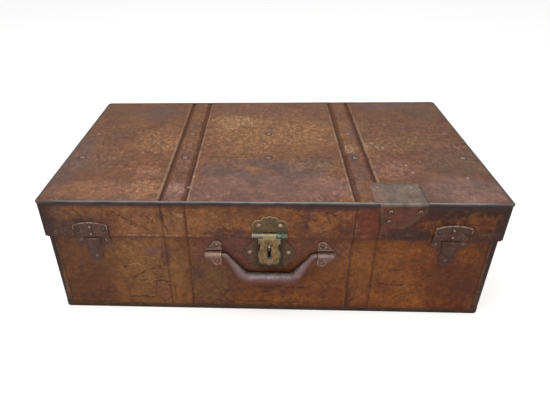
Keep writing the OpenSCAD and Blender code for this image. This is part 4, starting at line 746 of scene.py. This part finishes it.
def ringed(m, c, spot):
    """Head rubbed bright round a dark hollow."""
    d = m.min(m.near(m.x, m.z, PATCH_FRONT), m.near(m.x, m.y, PATCH_TOP))
    return m.mix(m.step(d, 0.0018, 0.001) * 0.85, c, 0x32221C), spot


BRASS_UP = metal("brass_upper", 0x725C3E, 0x5A4830, 0x5C3E2E, 0.45, 0.48, extra=knuckle_tints, rim=0.0015,
                 bright=(2.6, 2.5, 2.3), rub=0.95, below=0.2)
BRASS_FLAP = metal("brass_flap", 0xA6865C, 0x765C3A, 0x5C442C, 0.45, 0.44, 0.5, extra=flap_shade,
                   rim=0.0012)
OLIVE = metal("plate_olive", 0x6F5033, 0x573C26, 0x613826, 0.2, 0.5, extra=lock_shade, rim=0.0012,
              below=0.4)
RIVET_LOCK = metal("rivet_lock", 0x967E6A, 0x7E6452, 0x684E3E, 0.3, 0.4, size=0.006, extra=dome_highlight_and_shade)
COPPER = metal("plate_copper", 0x8C6858, 0x68483C, 0x54362C, 0.25, 0.42, size=0.004,
               bright=(2.3, 2.2, 2.1), rub=0.95, below=0.3, rim=0.0014, extra=socket_shade)
CATCH = metal("plate_catch", 0x664435, 0x52352B, 0x462C24, 0.15, 0.48, size=0.005, bright=(2.2, 2.1, 2.0),
              rub=0.7, below=0.3, corner_shade=0.5, extra=catch_shade)
STUD = metal("rivet_catch", 0x7C6454, 0x583E34, 0x482E28, 0.2, 0.44, size=0.0025, extra=dome_highlight_and_shade)
TONGUE_RIVET = metal("rivet_tongue", 0x54382E, 0x3A2620, 0x32201C, 0.2, 0.45, size=0.003, extra=dome_highlight_and_shade)
STEEL = metal("steel_dull", 0x847C72, 0x625A52, 0x5C3E2A, 0.75, 0.42)
HINGE = metal("hinge_plate", 0x684C3E, 0x4A342C, 0x5C3824, 0.4, 0.48)
PATCH_RIVET = metal("rivet_patch", 0x9E8672, 0x705848, 0x563C30, 0.35, 0.42, size=0.003, extra=ringed)
TOP_RIVET = metal("rivet_top", 0x92725E, 0x60463C, 0x4A3836, 0.1, 0.5, size=0.004, extra=painted_over)


def patch_material():
    """Repair patch: grey green and speckled on top, red brown and olive on the front."""
    m = Build("patch_sheet")
    w = m.warped(0.02, 0.008)
    a = m.noise(0.016, 7, 0.66, vec=w)
    c = m.mix(m.step(a, 0.36, 0.62), 0x5A4C40, 0x746254)
    left = m.step(m.x + a * 0.012, 0.16, 0.146)
    c = m.mix(left * 0.9, c, 0x7E5C4E)
    c = m.mix(m.step(m.noise(0.018, 6), 0.54, 0.6) * 0.6, c, 0x765C50)
    back = m.step(m.y + a * 0.008, -0.146, -0.136) * m.step(m.noise(0.0034, 5, 0.74), 0.51, 0.58)
    back = back * m.step(m.noise(0.012, 3), 0.42, 0.58)
    c = m.mix(back * 0.65, c, 0xA0927E)
    edge = m.step(m.y + a * 0.004, -0.1295, -0.1265)
    c = m.mix(edge * 0.6, c, 0x4E3E32)
    right = m.step(m.x + (a - 0.5) * 0.002, 0.197, 0.199)
    c = m.mix(right * 0.75, c, 0x3A2C26)
    front = m.step(m.z + a * 0.004, 0.1875, 0.184)
    red = m.mix(m.step(a, 0.38, 0.58), 0x502B1F, 0x673A2A)
    olive = m.mix(m.step(a, 0.4, 0.6), 0x4A3A2A, 0x624F39)
    green = m.max(m.step(m.x + a * 0.02, 0.16, 0.152), m.step(m.x + m.z * -0.9, 0.032, 0.04) * 0.8)
    c = m.mix(front, c, m.mix(green * 0.7, red, olive))
    # painted highlight along the fold over the rolled edge
    fold = m.step(m.nz * m.ny * -1.0, 0.26, 0.46)
    c = m.mix(fold * (0.35 + m.step(a, 0.42, 0.52) * 0.25), c, 0x96928E)
    # painted shade round the rivets' feet
    d = m.min(m.near(m.x, m.z, PATCH_FRONT), m.near(m.x, m.y, PATCH_TOP))
    c = m.mix(m.ring(d, 0.0034, 0.0012) * 0.6, c, 0x32241E)
    c = m.mottle(c, m.step(m.noise(0.004, 5, 0.7), 0.35, 0.65), 0.82, (1.18, 1.18, 1.16))
    fl = m.step(m.noise(0.0022, 4, 0.7), 0.6, 0.68) * 0.5
    c = m.times(c, fl, (1.8, 1.75, 1.6))
    e = m.step(m.rim(0.0008), 0.25, 0.6) * m.step(m.noise(0.012, 4), 0.42, 0.55)
    c = m.times(c, e * 0.6, (1.7, 1.65, 1.55))
    # painted shade in corners and along seams
    d = m.step(m.crevice(0.003) + (a - 0.5) * 0.4, 0.28, 0.75)
    c = m.mix(d * 0.7, c, 0x34261E)
    h = m.noise(0.006, 5, 0.65) * 0.6 + m.noise(0.03, 3) * 1.2
    return m.finish(c, 0.42 + a * 0.2, h, 0.5, 0.0008, 0.0, 0.36)


def roll_material():
    """Rolled edge: bare grey steel where rubbed, with a painted highlight along its top and painted shade
    below; brown paint left elsewhere.
    """
    m = Build("rolled_edge")
    a = m.noise(0.01, 6, 0.66, vec=m.scaled(0.3, 0.3, 1))
    steel = m.mix(m.step(a, 0.36, 0.62), 0x4E4B4E, 0x6C696B)
    paint = m.mix(m.step(m.noise(0.02, 5, 0.6), 0.4, 0.6), 0x60443A, 0x4A342E)
    underside_shade = m.mix(m.step(a, 0.4, 0.6), 0x362A2B, 0x4E3B39)
    front = m.step(m.y, -0.1725, -0.1755)
    worn = m.noise(0.05, 5, 0.62) + m.step(m.x, -0.27, -0.17) * 0.18
    rub = front * m.step(worn, 0.46, 0.56)
    other = (1 - front) * m.step(m.noise(0.03, 5, 0.65), 0.56, 0.66)
    bare = m.max(rub, other * 0.7)
    c = m.mix(bare, paint, steel)
    # painted shade on the underside and a painted highlight along the top
    up = m.step(m.nz + (a - 0.5) * 0.5, 0.46, 0.76)
    c = m.mix((1 - up) * 0.92, c, underside_shade)
    bright = m.step(m.nz, 0.76, 0.95) * (0.3 + rub * 0.7) * (0.45 + m.step(m.x, -0.22, 0.1) * 0.55)
    c = m.mix(bright * front * 0.62, c, 0xA6A29E)
    c = m.mix(m.step(m.x, 0.262, 0.29) * 0.6, c, 0x523E42)
    c = m.mix(m.step(m.x, -0.272, -0.3) * 0.5, c, 0x624C40)
    c = m.mottle(c, m.noise(0.003, 4, 0.7), 0.8, 1.2)
    h = m.noise(0.005, 4) * 0.5 + m.noise(0.02, 3) * 1.0
    return m.finish(c, 0.34 + a * 0.22, h, 0.4, 0.0006, bare * 0.25, 0.4)


def leather_material():
    """Grip leather, coloured by facing: a painted highlight along its upper side, painted shade on its top
    edge and underside, which is also redder; rubbed in places and ribbed where it was wound, with painted
    shade between the ribs.
    """
    m = Build("grip_leather")
    w = m.warped(0.006, 0.003)
    a = m.noise(0.01, 6, 0.62, vec=w)
    # colour by facing: painted highlight along the upper side, painted shade below
    up = m.nz + (a - 0.5) * 0.45
    c = m.ramp(up, [(-1.0, 0x583028), (-0.25, 0x78443C), (0.28, 0x885650), (0.52, 0x967472),
                    (0.72, 0xAC9A9C), (1.0, 0x7A6E68)])
    # painted shade on faces turned back
    c = m.mix(m.step(m.ny, -0.25, 0.15) * 0.6, c, 0x5C5246)
    c = m.mottle(c, m.step(m.noise(0.005, 5, 0.66), 0.36, 0.64), (0.8, 0.78, 0.78), (1.18, 1.2, 1.2))
    # arms: lighter where they face up, a painted highlight
    arm = m.step(abs(m.x - LOCK_X), 0.038, 0.054)
    c = m.mix(arm * 0.6, c, m.mix(m.step(up, -0.1, 0.5), 0x5E3832, 0x8C6A62))
    # painted shade between the ribs
    wound = m.math("SINE", (m.x + m.z * 0.5) * (2 * math.pi / 0.0031))
    where = m.max(m.step(abs(m.x - (LOCK_X + 0.026)), 0.02, 0.008),
                  m.step(abs(m.x + 0.036), 0.012, 0.004) * 0.7)
    c = m.mix(m.step(wound, 0.1, -0.5) * where * 0.45, c, 0x543C3C)
    grain = m.cracks(0.0013, m.warped(0.002, 0.0012))
    c = m.mix(m.step(grain, 0.1, 0.02) * 0.35, c, 0x3C2A26)
    wear = m.step(m.noise(0.004, 5, 0.7), 0.58, 0.7) * 0.45
    c = m.times(c, wear, (1.55, 1.5, 1.5))
    c = m.mottle(c, m.noise(0.0012, 3), 0.85, 1.15)
    h = m.step(grain, 0.0, 0.18) * 0.35 + m.noise(0.004, 4) * 0.6
    return m.finish(c, 0.4 + a * 0.18, h, 0.45, 0.0003)


for mat, names in (
        (roll_material(), "lid_edge_roll"), (patch_material(), "lid_patch"),
        (leather_material(), "handle_grip"), (BRASS_UP, "hasp_plate"), (BRASS_FLAP, "hasp_flap hasp_back"),
        (OLIVE, "lock_plate"), (RIVET_LOCK, "lock_rivets hasp_rivets"),
        (COPPER, "handle_plate_left handle_plate_right handle_rivets"),
        (CATCH, "catch_socket_left catch_socket_right catch_tongue_left catch_tongue_right"),
        (STUD, "catch_socket_rivets"), (TONGUE_RIVET, "catch_tongue_rivets"),
        (HINGE, "hinge_base_leaf_left hinge_base_leaf_right hinge_lid_leaf_left hinge_lid_leaf_right"),
        (PATCH_RIVET, "patch_rivets"), (TOP_RIVET, "batten_rivets")):
    MAT.update(dict.fromkeys(names.split(), mat))
for n, obj in nodes.items():
    MAT.setdefault(n, STEEL)
    obj.data.materials.clear()
    obj.data.materials.append(MAT[n])


# ---------------------------------------------------------------- dressed copies of CAD nodes
SHARP = math.radians(28)


def dressed(node, body, width):
    """A copy of a CAD node whose sharp edges are rounded, which stands for it."""
    obj = linked("dressed_" + node, nodes[node].data.copy())
    bm = bmesh.new()
    bm.from_mesh(obj.data)
    bmesh.ops.remove_doubles(bm, verts=bm.verts, dist=2e-6)
    bmesh.ops.dissolve_limit(bm, angle_limit=math.radians(0.6), verts=bm.verts, edges=bm.edges)
    for f in bm.faces:
        f.smooth = True
    for e in bm.edges:
        e.smooth = not (e.is_manifold and e.calc_face_angle(0) > SHARP)
    bm.to_mesh(obj.data)
    bm.free()
    mod = obj.modifiers.new("round", "BEVEL")
    mod.width = width
    mod.segments = 3
    mod.limit_method = "ANGLE"
    mod.angle_limit = SHARP
    mod.harden_normals = True
    mod.use_clamp_overlap = True
    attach(obj, body)
    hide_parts(node)


body_of = {n: b for b, ns in frame["record"]["behaviour"]["bodies"].items() for n in ns}
ROUND = {
    "hasp_plate": 0.0003, "hasp_flap": 0.00045, "lock_plate": 0.00035, "lock_staple": 0.0004,
    "handle_plate_left": 0.00035, "handle_plate_right": 0.00035,
    "catch_tongue_left": 0.00035, "catch_tongue_right": 0.00035,
    "catch_socket_left": 0.00035, "catch_socket_right": 0.00035,
    "hinge_base_leaf_left": 0.0003, "hinge_base_leaf_right": 0.0003,
    "hinge_lid_leaf_left": 0.0003, "hinge_lid_leaf_right": 0.0003,
    "lid_patch": 0.00022,
}
for n, width in ROUND.items():
    dressed(n, body_of[n], width)


# ---------------------------------------------------------------- swept pieces
def tube(name, points, radii, sides, closed, mat):
    """Mesh tube along the points. Each radius is a number or a function of the angle."""
    bm = bmesh.new()
    rings = []
    n = len(points)
    up = None
    for i, p in enumerate(points):
        a = points[(i - 1) % n] if closed or i > 0 else p
        b = points[(i + 1) % n] if closed or i < n - 1 else p
        t = (b - a).normalized()
        if up is None:
            up = t.orthogonal().normalized()
        up = (up - t * up.dot(t)).normalized()
        side = t.cross(up)
        r = radii[i]
        ring = []
        for k in range(sides):
            th = 2 * math.pi * k / sides
            d = up * math.cos(th) + side * math.sin(th)
            ring.append(bm.verts.new(p + d * (r(th) if callable(r) else r)))
        rings.append(ring)
    last = n if closed else n - 1
    for i in range(last):
        r0, r1 = rings[i], rings[(i + 1) % n]
        for k in range(sides):
            bm.faces.new((r0[k], r0[(k + 1) % sides], r1[(k + 1) % sides], r1[k]))
    if not closed:
        bm.faces.new(rings[0][::-1])
        bm.faces.new(rings[-1])
    for f in bm.faces:
        f.smooth = True
    return from_bmesh(name, bm, mat)


def rolled_edge():
    """The lid's rolled edge, hammered by use: slightly wavy in place and thickness."""
    inset, r, corner = 0.0017, 0.00248, 0.0043
    hx, hy, z = LID_X - inset, LID_Y - inset, TOP - inset
    pts = []

    def run(a, b, step=0.004):
        k = max(2, int((b - a).length / step))
        pts.extend(a + (b - a) * (i / k) for i in range(k))

    def bend(cx, cy, a0):
        for i in range(8):
            a = math.radians(a0 + 90 * i / 8)
            pts.append(Vector((cx + corner * math.cos(a), cy + corner * math.sin(a), z)))

    corners = (-1, -1), (1, -1), (1, 1), (-1, 1), (-1, -1)
    for k in range(4):
        cut_x, cut_y = (0, corner) if k % 2 else (corner, 0)
        run(*(Vector((sx * (hx - cut_x), sy * (hy - cut_y), z)) for sx, sy in corners[k:k + 2]))
        sx, sy = corners[k + 1]
        bend(sx * (hx - corner), sy * (hy - corner), 90 * k - 90)
    out, radii = [], []
    for p in pts:
        q = p * 22
        w = mnoise.noise(q) * 0.00022
        v = mnoise.noise(q * 2.3 + Vector((9, 3, 1))) * 0.00016
        patch = 0.0 if PATCH_X[0] < p.x < PATCH_X[1] and p.y < 0 else 1.0
        inward = Vector((-1 if p.x > hx - 1e-6 else 1 if p.x < -hx + 1e-6 else 0,
                         -1 if p.y > hy - 1e-6 else 1 if p.y < -hy + 1e-6 else 0, 0))
        out.append(p + inward * (0.00022 + w) * 0.6 * patch + Vector((0, 0, (v - 0.00012) * patch)))
        radii.append(r - (0.00008 + 0.00008 * mnoise.noise(q * 3.1)) * patch)
    obj = tube("rolled_edge", out, radii, 20, True, MAT["lid_edge_roll"])
    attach(obj, "lid")
    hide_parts("lid_edge_roll")


def grip():
    """Leather grip: one smooth sweep, thicker in the middle, with fine ribs where it bends."""
    span, inset, corner_x, drop = 0.065, 0.005, 0.035, 0.0365
    end_r, mid_r, up_r, low_r = 0.0043, 0.0076, 0.008, 0.016
    bend_x = span - inset
    slope = math.atan2(drop, bend_x - corner_x)
    uc, lc = up_r * math.tan(slope / 2), low_r * math.tan(slope / 2)
    tilt = math.asin((mid_r + 0.001 - (0.1784 - 0.173)) / drop)
    half = []
    for i in range(10):
        a = slope * i / 10
        half.append((bend_x + uc - up_r * math.sin(a), -up_r * (1 - math.cos(a))))
    p0 = (bend_x - uc * math.cos(slope), -uc * math.sin(slope))
    p1 = (corner_x + lc * math.cos(slope), -drop + lc * math.sin(slope))
    k = 26
    half += [(p0[0] + (p1[0] - p0[0]) * i / k, p0[1] + (p1[1] - p0[1]) * i / k) for i in range(k)]
    for i in range(24):
        a = slope * (1 - i / 24)
        half.append((corner_x - lc + low_r * math.sin(a), -drop + low_r * (1 - math.cos(a))))
    k = 40
    half += [((corner_x - lc) * (1 - i / k), -drop) for i in range(k + 1)]
    full = half + [(-x, z) for x, z in reversed(half[:-1])]
    rot = Matrix.Rotation(-tilt, 4, "X")
    centre = Vector((LOCK_X, -0.1784, HANDLE_Z))
    pts = [centre + rot @ Vector((x, 0, z)) for x, z in full]
    run = [0.0]
    for a, b in zip(pts, pts[1:]):
        run.append(run[-1] + (b - a).length)
    total = run[-1]
    arm0, arm1 = 0.006, 0.048

    def smooth(t):
        t = min(1, max(0, t))
        return t * t * (3 - 2 * t)

    radii = []
    for s in run:
        e = min(s, total - s)
        r = end_r + (mid_r - end_r) * smooth((e - arm0) / (arm1 - arm0)) - 0.00022
        radii.append(r - 0.0006 * smooth((0.0016 - e) / 0.0016))

    # finer stations, so that the ribs are real
    fine_pts, fine_r = [], []
    for i in range(len(pts) - 1):
        seg = (pts[i + 1] - pts[i]).length
        k = max(1, int(round(seg / 0.00042)))
        for j in range(k):
            f = j / k
            fine_pts.append(pts[i].lerp(pts[i + 1], f))
            s = run[i] + seg * f
            e = min(s, total - s)
            base = radii[i] + (radii[i + 1] - radii[i]) * f
            x = fine_pts[-1].x - LOCK_X
            bend = max(smooth(1 - abs(abs(x) - 0.037) / 0.016), 0.8 * smooth(1 - abs(x - 0.018) / 0.02),
                       0.25)
            rib = 0.00038 * math.sin(2 * math.pi * s / 0.0028) * bend
            fine_r.append(make_radius(base, rib, s))
    fine_pts.append(pts[-1])
    fine_r.append(make_radius(radii[-1], 0, total))
    obj = tube("leather_grip", fine_pts, fine_r, 40, False, MAT["handle_grip"])
    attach(obj, "handle")
    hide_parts("handle_grip")


def make_radius(base, rib, s):
    def r(th):
        p = Vector((math.cos(th) * 1.2, math.sin(th) * 1.2, s * 55))
        q = Vector((math.cos(th) * 3.1, math.sin(th) * 3.1, s * 160))
        return base + rib + 0.00016 * mnoise.noise(p) + 0.00005 * mnoise.noise(q)
    return r


def hood_lip(side):
    """Crowned cap that closes a catch's hood, slotted for its tongue."""
    back, front, slot, axis_y = -0.1733, -0.1789, 0.0046, -0.1682
    bm = bmesh.new()
    rings = []
    for z, r in ((0.1262, 0.01195), (0.12701, 0.01195), (0.12702, 0.01274), (0.1284, 0.01262),
                 (0.1296, 0.0121), (0.1304, 0.0111)):
        a0 = math.acos((axis_y - back) / r)
        arc = [a0 * (i / 20 - 1) for i in range(41)]
        path = [(r * math.sin(a), axis_y - r * math.cos(a)) for a in arc]
        path += [(slot, back), (slot, front), (-slot, front), (-slot, back)]
        rings.append([bm.verts.new((side * CATCH_X + u, y, z)) for u, y in path])
    bm.faces.new(rings[0])
    bm.faces.new(rings[-1])
    for low, high in zip(rings, rings[1:]):
        for i in range(len(low)):
            k = (i + 1) % len(low)
            f = bm.faces.new((low[i], low[k], high[k], high[i]))
            f.smooth = i < 40
    name = "left" if side < 0 else "right"
    obj = from_bmesh("hood_lip_" + name, bm, CATCH)
    obj.data.set_sharp_from_angle(angle=math.radians(40))
    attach(obj, body_of["catch_socket_" + name])


rolled_edge()
grip()
for side in (-1, 1):
    hood_lip(side)

for n, obj in nodes.items():
    if n not in ROUND:
        for p in obj.data.polygons:
            p.use_smooth = True
        obj.data.set_sharp_from_angle(angle=math.radians(30))


# ---------------------------------------------------------------- floor, world and lamps
def stage():
    me = bpy.data.meshes.new("floor")
    half = 14
    me.from_pydata([(-half, -half, 0), (half, -half, 0), (half, half, 0), (-half, half, 0)], [],
                   [(0, 1, 2, 3)])
    floor = linked("floor", me)
    floor.location.z = -0.0002
    mat = bpy.data.materials.new("floor")
    m = Tree(mat)
    diffuse = m.node("BsdfDiffuse", 0, {"Color": (0.86, 0.86, 0.855)})
    seen = m.node("LightPath", "Is Camera Ray") * 0.55
    glow = m.node("Emission", 0, {"Color": 1.0, "Strength": seen})
    both = m.node("AddShader", 0, {0: diffuse, 1: glow})
    m.node("OutputMaterial", 0, {"Surface": both})
    me.materials.append(mat)

    world = bpy.data.worlds.new("studio")
    scene.world = world
    m = Tree(world)
    rays = [m.node("LightPath", "Is %s Ray" % ray) for ray in ("Camera", "Glossy", "Transmission")]
    level = m.node("MapRange", "Result", {"Value": reduce(m.max, rays), "To Min": 0.42, "To Max": 1.0})
    sky = m.node("Background", 0, {"Color": 1.0, "Strength": level})
    m.node("OutputWorld", 0, {"Surface": sky})

    def area(name, loc, aim, size, power):
        d = bpy.data.lights.new(name, "AREA")
        d.shape = "RECTANGLE"
        d.size, d.size_y = size
        d.energy = power
        o = linked(name, d)
        o.location = loc
        o.rotation_euler = (Vector(aim) - Vector(loc)).to_track_quat("-Z", "Y").to_euler()

    area("overhead", (-0.25, -0.25, 1.9), (0, 0, 0.1), (1.9, 1.5), 15)
    area("front", (0.5, -2.3, 1.1), (0, -0.1, 0.1), (1.8, 1.2), 7)


stage()
